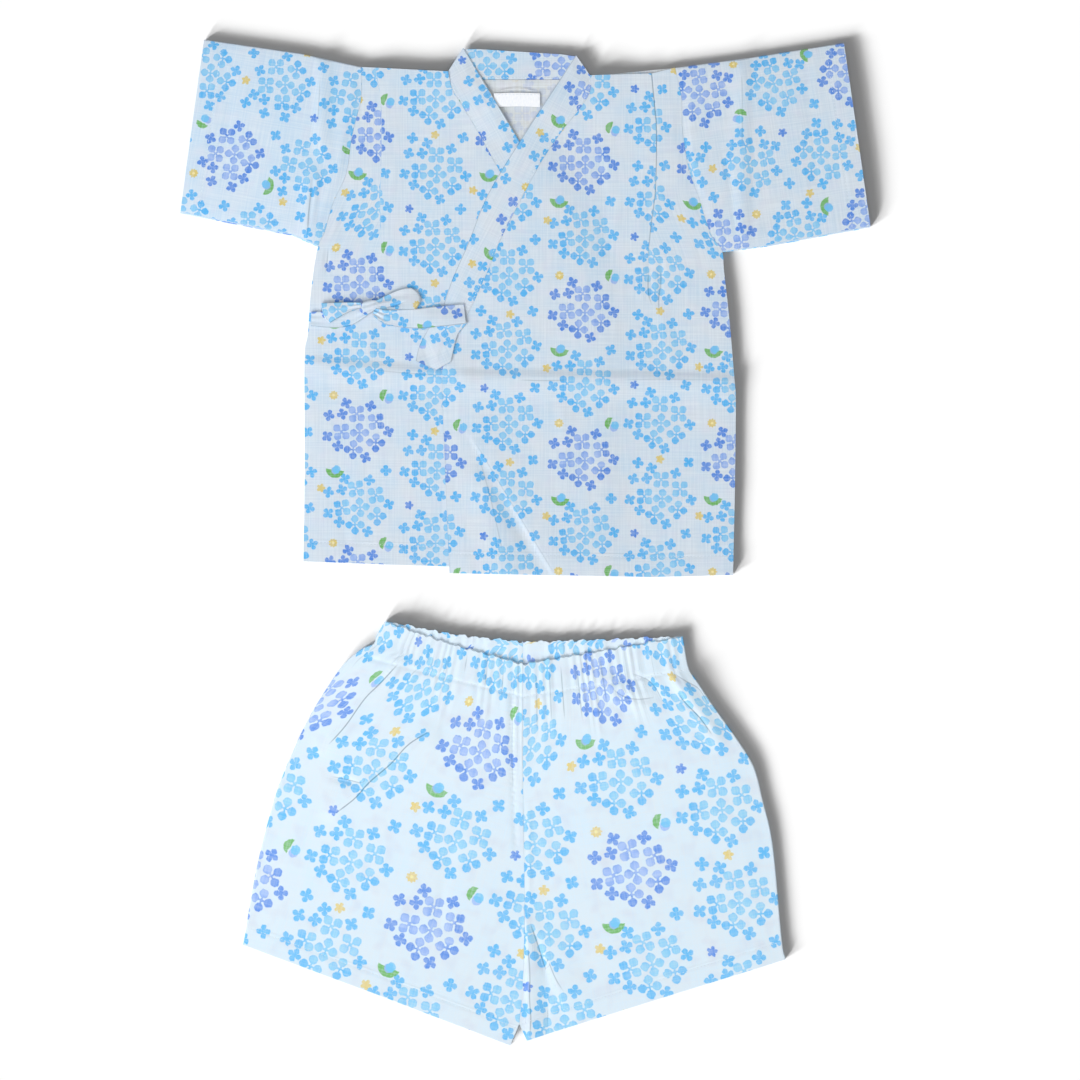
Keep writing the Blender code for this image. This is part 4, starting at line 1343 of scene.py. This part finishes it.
def folded_ring(front, back, top, floor_level, closed, high=TUBE_HIGH):
    """Outer and inner points of cloth folded flat on itself along its last column.

    The fold is half a circle of radius r: out r cos a, up r sin a. closed adds one along
    the first column too.
    """
    radius = high / 2

    def pulled(plan):
        plan = plan.copy()
        for edge, step in ((-1, -1), (0, 1)) if closed else ((-1, -1),):
            plan[:, edge] += radius * unit(plan[:, edge + step] - plan[:, edge])
            plan[:, edge + step] = (plan[:, edge] + plan[:, edge + 2 * step]) / 2
        return plan

    def nose(plan, edge, size, low):
        angles = np.linspace(math.pi / 2, -math.pi / 2, NOSE_STEPS + 1)[1:-1]
        drawn = pulled(plan)[:, edge]
        out = unit(plan[:, edge] - drawn)
        flat = drawn[:, None, :] + out[:, None, :] * (size * np.cos(angles))[None, :, None]
        return with_height(flat, low[:, None] + radius + size * np.sin(angles)[None, :])

    def surface(inset):
        size = radius - inset
        upper = with_height(pulled(front), top - inset)
        under = with_height(pulled(back), floor_level + inset)[:, ::-1]
        parts = [upper, nose(front, -1, size, floor_level[:, -1]), under]
        if closed:
            parts.append(nose(front, 0, size, floor_level[:, 0])[:, ::-1])
        return np.concatenate(parts, axis=1)

    return surface(0.0), surface(CLOTH)


def round_the_fold(cloth_front, outer, fullness=1.0, parallel=False):
    """Places on the cloth past the last column of the front: straight on, by the distance."""
    columns = cloth_front.shape[1]
    ahead = cloth_front[:, -1] - cloth_front[:, -3]
    if parallel:
        ahead[:] = ahead.mean(axis=0)
    steps = np.linalg.norm(np.diff(outer[:, columns - 1:], axis=1), axis=2)
    run = np.cumsum(steps, axis=1) * fullness * MM
    rest = cloth_front[:, -1][:, None] + unit(ahead)[:, None] * run[..., None]
    return np.concatenate([cloth_front, rest], axis=1)


def back_to_the_shoulder(cloth_front, outer):
    """Places on the cloth under a sleeve, counted back from the fold at the shoulder."""
    columns = cloth_front.shape[1]
    ahead = unit(cloth_front[:, 2] - cloth_front[:, 0])
    closed = np.concatenate([outer[:, columns:], outer[:, :1]], axis=1)
    steps = np.linalg.norm(np.diff(closed, axis=1), axis=2)
    run = np.flip(np.cumsum(np.flip(steps, 1), axis=1), 1) * MM
    rest = cloth_front[:, 0][:, None] - ahead[:, None] * run[..., None]
    return np.concatenate([cloth_front, rest, cloth_front[:, :1]], axis=1)


print("each facet of a folded side turns", 180 / NOSE_STEPS, "degrees")

# %% [markdown]
# ## The sleeves
#
# The sleeves are wide and straight, and rest on their own lower layer. They have a hemmed cuff,
# upright creases from the packing, and fine ones that run from the underarm.

# %% The sleeves
SLEEVE_RIGHT_MIDDLE = line((-196.4, 258.9), (-188, 411.6))
SLEEVE_RIGHT_CUFF = line((-290, 277.4), (-270, 423.4))
SLEEVE_LEFT_MIDDLE = line((203, 249.6), (188.3, 408.2))
SLEEVE_LEFT_CUFF = line((289.4, 265.7), (267, 420.6))
SLEEVE_COLUMNS = 80
SLEEVE_LEVELS = 14.0   # one over the share of its width in which it flattens to a fold
SLEEVE_PUFF = 0.9
HEM_CUFF = 17.0

SLEEVE_FOLDS = {
    "sleeve_right": [Fold(-171, 408, -172, 330, 1.3, 12, 9),
                     Fold(-178, 313, -184, 262, 1.5, 9, 12)],
    "sleeve_left": [Fold(182, 404, 182, 256, 1.3, 10, 14)],
}
# Sharp creases on the sleeves, painted as lines of shade with a highlight beside them.
SLEEVE_SHARP = {
    "sleeve_right": [Sharp(0.5, line((-179.5, 300), (-181.6, 282), (-183.4, 258))),
                     Sharp(0.3, line((-172.4, 392), (-173.4, 372), (-174.6, 350)))],
    "sleeve_left": [Sharp(0.3, line((181, 398), (181.6, 370), (181.4, 330)))],
}
SLEEVE_CREASES = {
    "sleeve_right": [Crease(-0.9, 1.8, line((-177.9, 314), (-179.6, 290), (-182.1, 262))),
                     Crease(-0.5, 4.0, line((-186, 300), (-205, 278), (-226, 268))),
                     Crease(-0.4, 5.0, line((-246, 400), (-250, 350), (-256, 300)))],
    "sleeve_left": [Crease(-0.6, 3.0, line((176, 258), (172, 300), (166, 330))),
                    Crease(-0.5, 4.0, line((196, 262), (214, 280), (232, 286))),
                    Crease(-0.4, 5.0, line((236, 400), (240, 350), (246, 290)))],
}


def sleeve(node, side, middle, cuff, shift, centre, tilt, seed, printed_cloth):
    """A tube from the armhole to the cuff, pressed flat, fuller halfway along."""
    armhole = rungs(side, shares((ARMPIT_SHARE, 1), (1.0, SLEEVE_COLUMNS))[1:])[::-1]
    plan = loft([moved(armhole, shift), middle, cuff], (28, 40),
                np.linspace(1.0, 0.0, SLEEVE_COLUMNS + 1)).transpose(1, 0, 2)
    across = even(SLEEVE_COLUMNS)[None, :]
    level = smooth(np.minimum(across, 1.0 - across) * SLEEVE_LEVELS)
    relief = (SLEEVE_PUFF * np.sin(math.pi * across) ** 0.7
              + folds_height(plan, SLEEVE_FOLDS[node]) + 0.6 * level * unevenness(plan, seed)
              + level * creases_height(plan, SLEEVE_CREASES[node])
              + level * hem_height(length_from(plan, "last row"), HEM_CUFF))
    relief *= smooth(length_from(plan, "first row") / SEAM_ALLOWANCE)
    top = TUBE_HIGH + relief
    outer, inner = folded_ring(plan, plan, top, np.zeros_like(top), closed=True)
    cloth_map = back_to_the_shoulder(on_cloth(plan, centre, math.radians(tilt)), outer)
    # Its sharp creases are painted as lines of shade.
    piece = shell(node, outer, inner, cloth_map, [printed_cloth, jacket_wrong], ring=True,
                  sharp=sharp_creases(plan, SLEEVE_SHARP[node]))
    sewn_in(piece, node, cloth_map, [])
    laid[node] = outer[:, :plan.shape[1]]


sleeve("sleeve_right", body_right, SLEEVE_RIGHT_MIDDLE, SLEEVE_RIGHT_CUFF, -SEAM,
       (-244.3, 326.8), 80.1, 51, painted_cool_light_cloth)
sleeve("sleeve_left", body_left, SLEEVE_LEFT_MIDDLE, SLEEVE_LEFT_CUFF, SEAM,
       (146.3, 377), -81.7, 57, jacket_cloth)

# %% [markdown]
# ## The bow
#
# Two ties are knotted over the right front. A short stretch comes from the side seam and a
# longer one from the left front's edge. Both loops are strips turned back on themselves, so
# they are flat tubes that are open at their ends, and one end hangs down below them.

# %% The bow
Strip = namedtuple("Strip", "x y half")
TIE_SIDE = [Strip(-180.0, 189.0, 6.0), Strip(-165.0, 188.5, 7.0),
            Strip(-150.0, 190.0, 7.5), Strip(-138.0, 194.5, 5.5), Strip(-131.0, 198.0, 4.0)]
TIE_FRONT = [Strip(-127.5, 195.0, 3.4), Strip(-115.0, 190.2, 6.4), Strip(-93.0, 189.0, 8.2),
             Strip(-72.0, 190.8, 8.6), Strip(-51.0, 192.9, 8.4)]
LOOP_RIGHT = [Strip(-138.0, 200.0, 2.6), Strip(-149.0, 198.4, 4.4),
              Strip(-159.5, 195.8, 7.0), Strip(-169.8, 192.8, 9.6)]
LOOP_LEFT = [Strip(-125.6, 200.4, 3.6), Strip(-114.0, 203.0, 6.6),
             Strip(-101.5, 205.2, 8.9), Strip(-88.0, 206.0, 9.6)]
LOOP_CREASES = {
    "bow_loop_right": [Crease(-0.4, 1.4, line((-142, 198.6), (-152, 196.6),
                                              (-163, 194.4)))],
    "bow_loop_left": [Crease(-1.0, 0.8, line((-121, 197.6), (-110, 200),
                                             (-99, 204.3))),
                      Crease(-0.4, 1.3, line((-104, 207.5), (-97.5, 211.5)))],
}
LOOP_ROUNDING = {"bow_loop_right": (1, 3), "bow_loop_left": (5.5, 7.5)}
TAIL = {"left": line((-92.2, 153.4), (-90.6, 161.7), (-88.2, 168.7), (-83.4, 177.7),
                     (-81, 183), (-82.5, 187.6)),
        "middle": line((-75, 145.8), (-74.2, 160), (-70.6, 174), (-65.4, 187)),
        "right": line((-62.6, 152.6), (-60.8, 161.7), (-58.2, 172.4), (-55.4, 178),
                      (-48.2, 186.2))}
TAIL_CREASE = Crease(-0.5, 2.0, line((-74, 150), (-68, 168), (-60, 184)))
TAIL_TURN = 24.0
TIE_PINCHED = (4.1, 7.6)     # half widths at which a tie is fully gathered, and not at all
KNOT = {"centre": (-131.2, 199), "half": (8.6, 5), "turn": 24.0, "thick": 1.5, "rise": 0.5}
KNOT_FULLNESS = 1.2    # a knot is a wrap of gathered cloth
LOOP_HIGH = 1.9        # at its folded sides
LOOP_PUFF = 0.9


def tie(node, sections, rows, centre, seed):
    """A strip that is pinched where it goes into the knot: ripples along its length."""
    plan = strip_plan(sections, rows, 14)
    across = np.linspace(-1.0, 1.0, plan.shape[1])[None, :]
    half = np.interp(even(rows - 1), even(len(sections) - 1),
                     [section.half for section in sections])[:, None]
    gathered, smoothed = TIE_PINCHED
    pinch = smooth((smoothed - half) / (smoothed - gathered))
    added = 0.5 * pinch * (1.0 + np.cos(across * 8.0)) + 0.5 * unevenness(plan, seed)
    # Both long edges get lines of painted shade.
    return lay(node, plan, on_cloth(plan, centre), ["front_right"], added=added,
               reach=NARROW_CELLS, sharp=painted_edge_shade(plan, ["first column", "last column"], 0.6))


def loop(node, sections, centre):
    """A strip turned back on itself at a rounded far end, and standing open in its middle."""
    plan = strip_plan(sections, 44, 28).transpose(1, 0, 2)
    along = even(plan.shape[1] - 1)[None, :]
    across = np.linspace(-1.0, 1.0, plan.shape[0])[:, None]
    low, high = LOOP_ROUNDING[node]
    drawn_in = np.where(across < 0.0, low, high) * across ** 2 * along ** 4
    plan = plan - unit(plan[:, -1:] - plan[:, -2:-1]) * drawn_in[..., None]
    level = heap.under(plan, NARROW_CELLS)
    gather = 0.3 * (1.0 - along) * np.cos(across * 7.0) * smooth(along * 8.0)
    bulge = LOOP_PUFF * np.sin(math.pi * along ** 1.5) * (1.0 - 0.35 * across ** 2)
    top = (level + LOOP_HIGH + bulge + gather
           + creases_height(plan, LOOP_CREASES[node]) * smooth((1.0 - along) * 8.0))
    outer, inner = folded_ring(plan, plan, top, level, closed=False, high=LOOP_HIGH)
    cloth_map = round_the_fold(on_cloth(plan, centre), outer, parallel=True)
    # Its sides and far end get lines of painted shade.
    piece = shell(node, outer, inner, cloth_map, [jacket_cloth, jacket_wrong],
                  sharp=painted_edge_shade(plan, ["first row", "last row", "last column"], 0.9))
    sewn_in(piece, node, cloth_map, ["tie_front"])
    return with_height(plan, top)


def knot(node, centre):
    """A squeezed ellipse with a domed top: a square grid drawn onto a disc, then turned."""
    share = np.linspace(-1.0, 1.0, 33)
    u, v = np.meshgrid(share, share)
    round_u, round_v = u * np.sqrt(1 - v * v / 2), v * np.sqrt(1 - u * u / 2)
    from_edge = np.clip(1.0 - round_u ** 4 - round_v ** 4, 0.0, 1.0)
    lean = math.radians(KNOT["turn"])
    wide, tall = KNOT["half"][0] * round_u, KNOT["half"][1] * round_v * (1.0 - 0.22 * round_u)
    plan = np.stack([KNOT["centre"][0] + wide * math.cos(lean) - tall * math.sin(lean),
                     KNOT["centre"][1] + wide * math.sin(lean) + tall * math.cos(lean)], axis=2)
    dome = (KNOT["rise"] * np.sqrt(from_edge)
            + 0.25 * np.cos(7.0 * round_v + 1.5 * round_u + 1.0) * from_edge)
    return lay(node, plan, KNOT_FULLNESS * on_cloth(plan, centre), ["tie_side", "tie_front"],
               KNOT["thick"], dome, solid=True, reach=NARROW_CELLS)


plan = loft([TAIL["left"], TAIL["middle"], TAIL["right"]], (12, 12), even(30))
added = 0.6 * unevenness(plan, 71) + creases_height(plan, [TAIL_CREASE])
# The hanging end's sides and foot get lines of painted shade.
heap.cover(lay("tie_end", plan, on_cloth(plan, (-98, 132), math.radians(TAIL_TURN)),
               ["front_right"], added=added, reach=NARROW_CELLS,
               sharp=painted_edge_shade(plan, ["first column", "last column", "first row"], 0.4)))
heap.cover(tie("tie_side", TIE_SIDE, 34, (-172, 215), 61),
           tie("tie_front", TIE_FRONT, 52, (-62, 214), 63))
heap.cover(knot("bow_knot", (-154, 190.3)),
           loop("bow_loop_right", LOOP_RIGHT, (-221, 165)),
           loop("bow_loop_left", LOOP_LEFT, (-197, 168)))

# %% [markdown]
# ## The shorts
#
# Each leg is one piece of cloth that goes round from the middle of the front to the middle of
# the back, folded flat at the outer side. An elastic in the turned-in top gathers it. The
# gathers are a wave across the leg whose crests stand at uneven distances, run down by uneven
# lengths, and turn into wider, softer ones below. More cloth lies in them than shows, so the
# print is squeezed there. The top is turned in, so the inside of the back waist is printed too.

# %% The shorts' edges
CENTRE = line((-5.4, -402.8), (-2.6, -370), (-1, -303), (-2.4, -200))
FRONT_WAIST = {"centre": (-2.4, -100.2), "right": (-60, -84.6), "left": (60, -90)}
BACK_WAIST = {"centre": (-2.4, -82.2), "right": (-60, -76), "left": (60, -80.4)}
LEG_RIGHT_SIDE = line((-237.2, -336.3), (-226, -272), (-211.5, -215.8), (-200.3, -185.2),
                      (-184.2, -149.9), (-168.1, -122.6), (-152, -100), (-137.6, -88),
                      (-127.9, -83.8), (-124.5, -75.5), (-118.3, -64.7))
LEG_LEFT_SIDE = line((218.2, -348.6), (214.9, -331), (207.4, -253), (199, -215),
                     (191.5, -187), (177.6, -164), (158.3, -137), (143, -114),
                     (136.6, -103.5), (131.8, -77.5))
CROTCH_PLACE = 0.055   # share of the height where the two legs part
LEG_ROWS = shares((CROTCH_PLACE, 16), (0.11, 14), (0.70, 84), (0.86, 40), (1, 50))
HEM_LEG = 17.0
Leg = namedtuple("Leg", "corner hem side seam centre tilt start")    # start: of its waves
LEGS = {
    "right": Leg((-13, -420.8), (-126.3, -377.3), LEG_RIGHT_SIDE, -SEAM,
                 (-38.5, -174.7), -15.3, 0.4),
    "left": Leg((0.8, -416.6), (105, -383.6), LEG_LEFT_SIDE, SEAM, (66.5, -122.6), 9.7, 1.7),
}

LEG_FOLDS = {
    "leg_right": [Fold(-80, -155, -166, -226, 1.5, 26, 16),
                  Fold(-104, -98, -170, -170, 1.7, 14, 18)],
    "leg_left": [Fold(128, -109, 166, -166, 2.2, 18, 14),
                 Fold(58, -112, 102, -136, 1.4, 14, 14),
                 Fold(1, -316, 3, -424, 2.4, 17, 3),
                 Fold(10, -328, 36, -390, 1.1, 30, 8)],
}
LEG_CREASES = {
    "leg_right": [
        Crease(-0.6, 2.2, line((-79.6, -157.5), (-105.7, -178.5), (-130, -203),
                               (-160, -229))),
        Crease(-1.0, 3.0, line((-166.2, -195.5), (-151, -198.5), (-136.7, -201.5))),
        Crease(-0.6, 2.6, line((-10.5, -118), (-11.5, -165), (-10, -215),
                               (-8, -260))),
        Crease(-0.7, 3.0, line((-108, -100), (-138, -134), (-163, -162))),
        Crease(-0.5, 5.0, line((-60, -250), (-70, -290), (-74, -330)))],
    "leg_left": [
        Crease(-0.8, 3.0, line((3.1, -316), (8.6, -331.8), (15.3, -352.8), (18.5, -366))),
        Crease(-0.6, 2.4, line((18.2, -380), (18.2, -409))),
        Crease(0.5, 2.4, line((2.5, -215), (3, -262), (2.8, -305))),
        Crease(-0.9, 2.6, line((127, -121), (132, -131), (146.3, -146.2),
                               (158.5, -163))),
        Crease(-0.6, 2.6, line((120.7, -106.3), (132.9, -114.2), (147.2, -123.1),
                               (154.3, -137.3))),
        Crease(-0.5, 2.4, line((86, -107.4), (104.7, -115.9), (116.9, -135.2))),
        Crease(-0.5, 3.0, line((70, -119.5), (81.6, -127.5), (94.2, -130.2),
                               (112, -128)))],
}
# Sharp creases on the legs, painted as lines of shade with a highlight beside them.
LEG_SHARP = {
    "leg_right": [
        Sharp(0.85, line((-105.7, -99), (-122.2, -117), (-135, -129.8),
                         (-151.5, -152.8), (-167, -170))),
        Sharp(0.90, line((-78.5, -156), (-98.1, -168), (-113.3, -184.4), (-131.1, -199.8),
                         (-143.9, -213.8), (-162, -227.6))),
        Sharp(0.55, line((-165.5, -194.7), (-151.5, -197.2), (-138.8, -200.3),
                         (-126, -202.3))),
        Sharp(0.34, line((-11, -140), (-11.6, -172), (-10.6, -208))),
        Sharp(0.5, line((-88.8, -102.6), (-96.2, -110), (-101, -116)))],
    "leg_left": [
        Sharp(0.85, line((127, -121), (132, -131), (146.3, -146.2), (158, -162.5))),
        Sharp(0.55, line((120.7, -106.3), (132.9, -114.2), (147.2, -123.1), (154.3, -137.3))),
        Sharp(0.42, line((86, -107.4), (104.7, -115.9), (116.9, -135.2))),
        Sharp(0.48, line((70, -119.5), (81.6, -127.5), (94.2, -130.2), (112, -128))),
        Sharp(0.75, line((3.1, -316), (8.6, -331.8), (15.3, -352.8), (18.5, -362))),
        Sharp(0.55, line((10.8, -334), (18.6, -349.4), (25.2, -364.9), (32.9, -377.1))),
        Sharp(0.65, line((1.6, -336), (3.1, -353.9), (3.5, -369.3), (3.1, -380.4),
                         (4.2, -398), (3.4, -414))),
        Sharp(0.45, line((18.6, -384.8), (18.1, -407)))],
}
print("the shorts are", round(LEG_LEFT_SIDE[0].x - LEG_RIGHT_SIDE[0].x), "mm wide at their hems")

# %% The gathers
CASING = 28.0          # depth of the elastic's channel, where the gathers are full
GATHERS = 19           # on the front of each leg
BACK_GATHERS = 13
GATHER_RISE = 0.8
WAIST_LINES = 9        # sharp creases between the gathers of each leg
BACK_GATHER_RISE = 0.7
SCALLOP_ROWS = 5
WAIST_LIFT = 0.4       # the front of the waist lies on the back's gathers
BACK_LIFT = 1.6        # and the back's top edge stands up behind it
WAIST_FULLNESS = 0.42  # how much more cloth there is at the waist than shows
LEG_BODY = 1.2         # how much fuller a leg lies in its middle than at its edges
LEG_BODY_DEPTH = 90.0  # below the waist, where it is as full as that
FRONT_COLUMNS, BACK_COLUMNS = 58, 36    # in each half of a leg
MIDDLE_COLUMN = 40     # the depth below the waist is read here, for a whole row
EDGE_COLUMNS = 12.0    # columns over which a leg flattens to its folded side
BACK_EDGE_COLUMNS = 7.2
WAIST_LIFT_DEPTH = 112.0     # over which the front comes down again
BACK_LIFT_DEPTH = 26.0
FULLNESS_DEPTH = (14, 109)    # the print is squeezed above these
CASING_GROOVE = 0.3    # the channel's stitches pull in by this much


def gathers(share, depth, count, start):
    """Crests 0.5 - 0.5 cos(phase), deep in the casing, pinched at its stitching, then fading."""
    phase = 2 * math.pi * (count * share + 0.5 * np.sin(9.0 * share + start)
                           + 0.3 * np.sin(23.0 * share + 2 * start))
    strength = 0.65 + 0.35 * np.sin(13.0 * share + 3 * start) * np.sin(37.0 * share + start)
    reach = 36.0 + 20.0 * np.sin(29.0 * share + start) + 44.0 * (1.0 - smooth(share / 0.2))
    fine = (0.5 - 0.5 * np.cos(phase)) * strength * (1.0 - smooth((depth - CASING) / reach))
    pinch = 1.0 - 0.45 * np.exp(-((depth - CASING) / 2.4) ** 2)
    wide = ((0.5 - 0.5 * np.cos(0.5 * phase + start)) * smooth((depth - 6.0) / CASING)
            * (1.0 - smooth((depth - CASING) / (70.0 + 30.0 * np.sin(17.0 * share)))))
    return fine * pinch + 0.42 * wide


def scallops(share, start):
    """The waist's edge goes up and down a little where the elastic draws it in."""
    return (1.2 * np.sin(67.0 * share + 2 * start + np.sin(19.0 * share))
            * (0.6 + 0.4 * np.sin(31.0 * share + start)) + 0.45 * np.sin(150.0 * share + start))


def painted_waist_shade(from_edge, share, start):
    """A thin line of painted shade along the edge, uneven, and widest in the middle of the waist.
    """
    middle = 1.0 - smooth(share / 0.3)
    gap = (from_edge - 0.4) * (1.5 - 0.8 * middle)
    dark = 0.85 + 0.2 * np.sin(43.0 * share + start) + 0.1 * middle
    return gap, dark * near_line(gap)


def waist_lines(front, start):
    """Painted lines of crease shade down from the waist, at uneven distances, by uneven lengths.
    """
    lines = []
    for number in range(WAIST_LINES):
        share = (number + 0.5 + 0.3 * math.sin(5.0 * number + start)) / WAIST_LINES
        column = int(share * (front.shape[1] - 1))
        first = int(2 + 9 * abs(math.sin(2.0 * number + start)))
        last = first + int(24 + 30 * abs(math.sin(3.0 * number + start)))
        rows = np.linspace(-first - 1, -last - 1, 5).astype(int)
        lines.append(Sharp(0.34 + 0.20 * math.sin(7.0 * number), front[rows, column]))
    return lines


def leg_plan(hand, waist, columns):
    """Rows from the hem up: a straight inner leg to the crotch, then the centre seam."""
    shape, below = LEGS[hand], LEG_ROWS < CROTCH_PLACE
    centre = rungs(CENTRE + line(waist["centre"]),
                   (LEG_ROWS[~below] - CROTCH_PLACE) / (1.0 - CROTCH_PLACE))
    rise = (LEG_ROWS[below] / CROTCH_PLACE)[:, None]
    inner_leg = np.array(shape.corner) * (1.0 - rise) + centre[0] * rise
    return loft([moved(np.vstack([inner_leg, centre]), shape.seam), line(shape.hem, waist[hand]),
                 shape.side], (columns, columns), LEG_ROWS)


def across_leg(plan, edge_columns):
    """Depth below the waist, share of the way out, and 1 over the leg, 0 at its folded side."""
    return (plan[-1, :, 1][None, :] - plan[..., 1], even(plan.shape[1] - 1)[None, :],
            smooth(np.arange(plan.shape[1])[::-1] / edge_columns)[None, :])


def leg(hand):
    """One leg: front and back plans, gathers, folds and creases, made into a flat tube."""
    node, shape = "leg_" + hand, LEGS[hand]
    start = shape.start
    front, back = (leg_plan(hand, waist, columns) for waist, columns in
                   ((FRONT_WAIST, FRONT_COLUMNS), (BACK_WAIST, BACK_COLUMNS)))
    depth, share, flatten = across_leg(front, EDGE_COLUMNS)
    relief = (WAIST_LIFT * (1.0 - smooth(depth / WAIST_LIFT_DEPTH))
              + GATHER_RISE * gathers(share, depth, GATHERS, start)
              + LEG_BODY * np.sin(math.pi * share) * smooth(depth / LEG_BODY_DEPTH)
              + folds_height(front, LEG_FOLDS[node]) + creases_height(front, LEG_CREASES[node])
              + 0.6 * unevenness(front, 73 + int(10 * start))
              + hem_height(length_from(front, "first row"), HEM_LEG)
              - CASING_GROOVE * np.exp(-((depth - CASING) / 1.6) ** 2))
    outer, inner = folded_ring(front, back, TUBE_HIGH + relief * flatten,
                               np.zeros(back.shape[:2]), closed=False)

    back_depth, back_share, back_flatten = across_leg(back, BACK_EDGE_COLUMNS)
    ripples = back_flatten * (
        BACK_LIFT * (1.0 - smooth(back_depth / BACK_LIFT_DEPTH))
        + BACK_GATHER_RISE * gathers(back_share, back_depth, BACK_GATHERS, start + 2.0))
    lapped = even(SCALLOP_ROWS - 1)[:, None]
    for surface in (outer, inner):
        over, under = surface[:, :front.shape[1]], surface[:, -back.shape[1]:][:, ::-1]
        under[..., 2] += ripples
        over[-SCALLOP_ROWS:, :, 1] += lapped * scallops(share, start) * flatten
        under[-SCALLOP_ROWS:, :, 1] += lapped * scallops(back_share, start + 1.0) * back_flatten

    row_depth = depth[:, MIDDLE_COLUMN, None]
    full, plain = FULLNESS_DEPTH
    fullness = 1.0 + WAIST_FULLNESS * (1.0 - smooth((row_depth - full) / (plain - full)))
    place = on_cloth(front, shape.centre, math.radians(shape.tilt))
    place[..., 0] *= fullness
    cloth_map = round_the_fold(place, outer, fullness)
    inside = np.broadcast_to((row_depth[:-1] >= CASING).astype(int),
                             (outer.shape[0] - 1, outer.shape[1] - 1))
    # Sharp creases and the waist's edge are painted on the leg as lines of shade.
    lines = sharp_creases(front, LEG_SHARP[node] + waist_lines(front, start))
    piece = shell(node, outer, inner, cloth_map, [shorts_cloth, shorts_wrong],
                  inside_slots=inside, sharp=deeper(lines, painted_waist_shade(depth, share, start)))
    sewn_in(piece, node, cloth_map, [])
    laid[node] = outer[:, :front.shape[1]]


for hand in LEGS:
    leg(hand)

# %% [markdown]
# ## Stitches
#
# Hems, bands and the elastic's channel are sewn down with a short straight stitch. Each stitch
# is a sliver of thread with eight faces, sunk at both ends. All the stitches of a garment are
# one mesh, worked out together from the lines that run at a set distance inside the edges.

# %% Stitches
STITCH_PITCH = 3.0
STITCH_LENGTH = 2.2
STITCH_HALF_WIDTH = 0.26
STITCH_PROUD = 0.16
BAND_STITCH = 1.6      # inside the band's seam
LABEL_STITCH = 1.2


def inset_line(grid, edge, distance):
    """Points at a distance inside an edge: between the grid's rows, by straight steps."""
    run = length_from(grid[..., :2], edge)
    if "column" in edge:
        grid, run = grid.transpose(1, 0, 2), run.T
    if "last" in edge:
        grid, run = grid[::-1], run[::-1]
    over = np.clip((run < distance).sum(axis=0), 1, len(run) - 1)
    spot = np.arange(grid.shape[1])
    before, after = run[over - 1, spot], run[over, spot]
    share = np.clip((distance - before) / (after - before), 0.0, 1.0)[:, None]
    return grid[over - 1, spot] * (1.0 - share) + grid[over, spot] * share


def stitch_row(path):
    """Six corners for each stitch: two ends along the path, two sides, top and bottom."""
    run = length_along(path)
    middle = (np.arange(int(run[-1] / STITCH_PITCH)) + 0.5) * STITCH_PITCH
    behind, centre, ahead = (
        np.stack([np.interp(middle + step, run, path[:, axis]) for axis in range(3)], axis=1)
        for step in (-STITCH_LENGTH / 2, 0.0, STITCH_LENGTH / 2))
    along = unit(ahead - behind)
    side = np.stack([-along[:, 1], along[:, 0], np.zeros(len(along))], axis=1)
    side *= STITCH_HALF_WIDTH
    up = np.array([0.0, 0.0, STITCH_PROUD])
    return np.stack([ahead, centre + side, behind, centre - side, centre + up, centre - up],
                    axis=1)


def sew(name, rows):
    """One mesh of all the rows; each stitch has four faces above and four below.

    A row is a piece, the name of one of its edges, and how far inside it the line runs.
    """
    corners = np.concatenate([stitch_row(inset_line(laid[node], edge, distance))
                              for node, edge, distance in rows])
    pattern = np.array([[0, 1, 4], [1, 2, 4], [2, 3, 4], [3, 0, 4],
                        [1, 0, 5], [2, 1, 5], [3, 2, 5], [0, 3, 5]])
    faces = (pattern[None] + 6 * np.arange(len(corners))[:, None, None]).reshape(-1, 3)
    points = (corners.reshape(-1, 3) - ORIGIN) * MM
    mesh = mesh_of(name, points.tolist(), faces.tolist(), [sewing_thread])
    mesh.shade_smooth()
    piece = placed(name, mesh)
    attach(piece, "root")
    print(name, "has", len(corners), "stitches")


sew("jacket_stitches",
    [("front_left", "first row", HEM_JACKET - HEM_STEP),
     ("front_right", "first row", HEM_JACKET - HEM_STEP),
     ("sleeve_right", "last row", HEM_CUFF - HEM_STEP),
     ("sleeve_left", "last row", HEM_CUFF - HEM_STEP),
     ("band_left", "last column", BAND_STITCH), ("band_right", "first column", BAND_STITCH),
     ("band_back", "first row", BAND_STITCH), ("label", "last row", LABEL_STITCH)])
sew("shorts_stitches",
    [row for node in ("leg_right", "leg_left")
     for row in ((node, "first row", HEM_LEG - HEM_STEP), (node, "last row", CASING))])

# %% [markdown]
# ## Sharing out the light
#
# A light falls only on the pieces of its own collection, where it has one. The low lights get
# the floor, and the three for the cloth get all the pieces. All pieces still throw shadows.

# %% Sharing out the light
def falls_on(light, pieces):
    """Light linking: the pieces that a light reaches are one collection."""
    group = bpy.data.collections.new(light.name + "_falls_on")
    for piece in pieces:
        group.objects.link(piece)
    light.light_linking.receiver_collection = group


pieces = [item for item in bpy.data.objects if item.type == "MESH" and item is not floor]
for light in cloth_lights:
    falls_on(light, pieces)
for light in floor_lights:
    falls_on(light, [floor])
print(len(pieces), "pieces are lit apart from the floor")
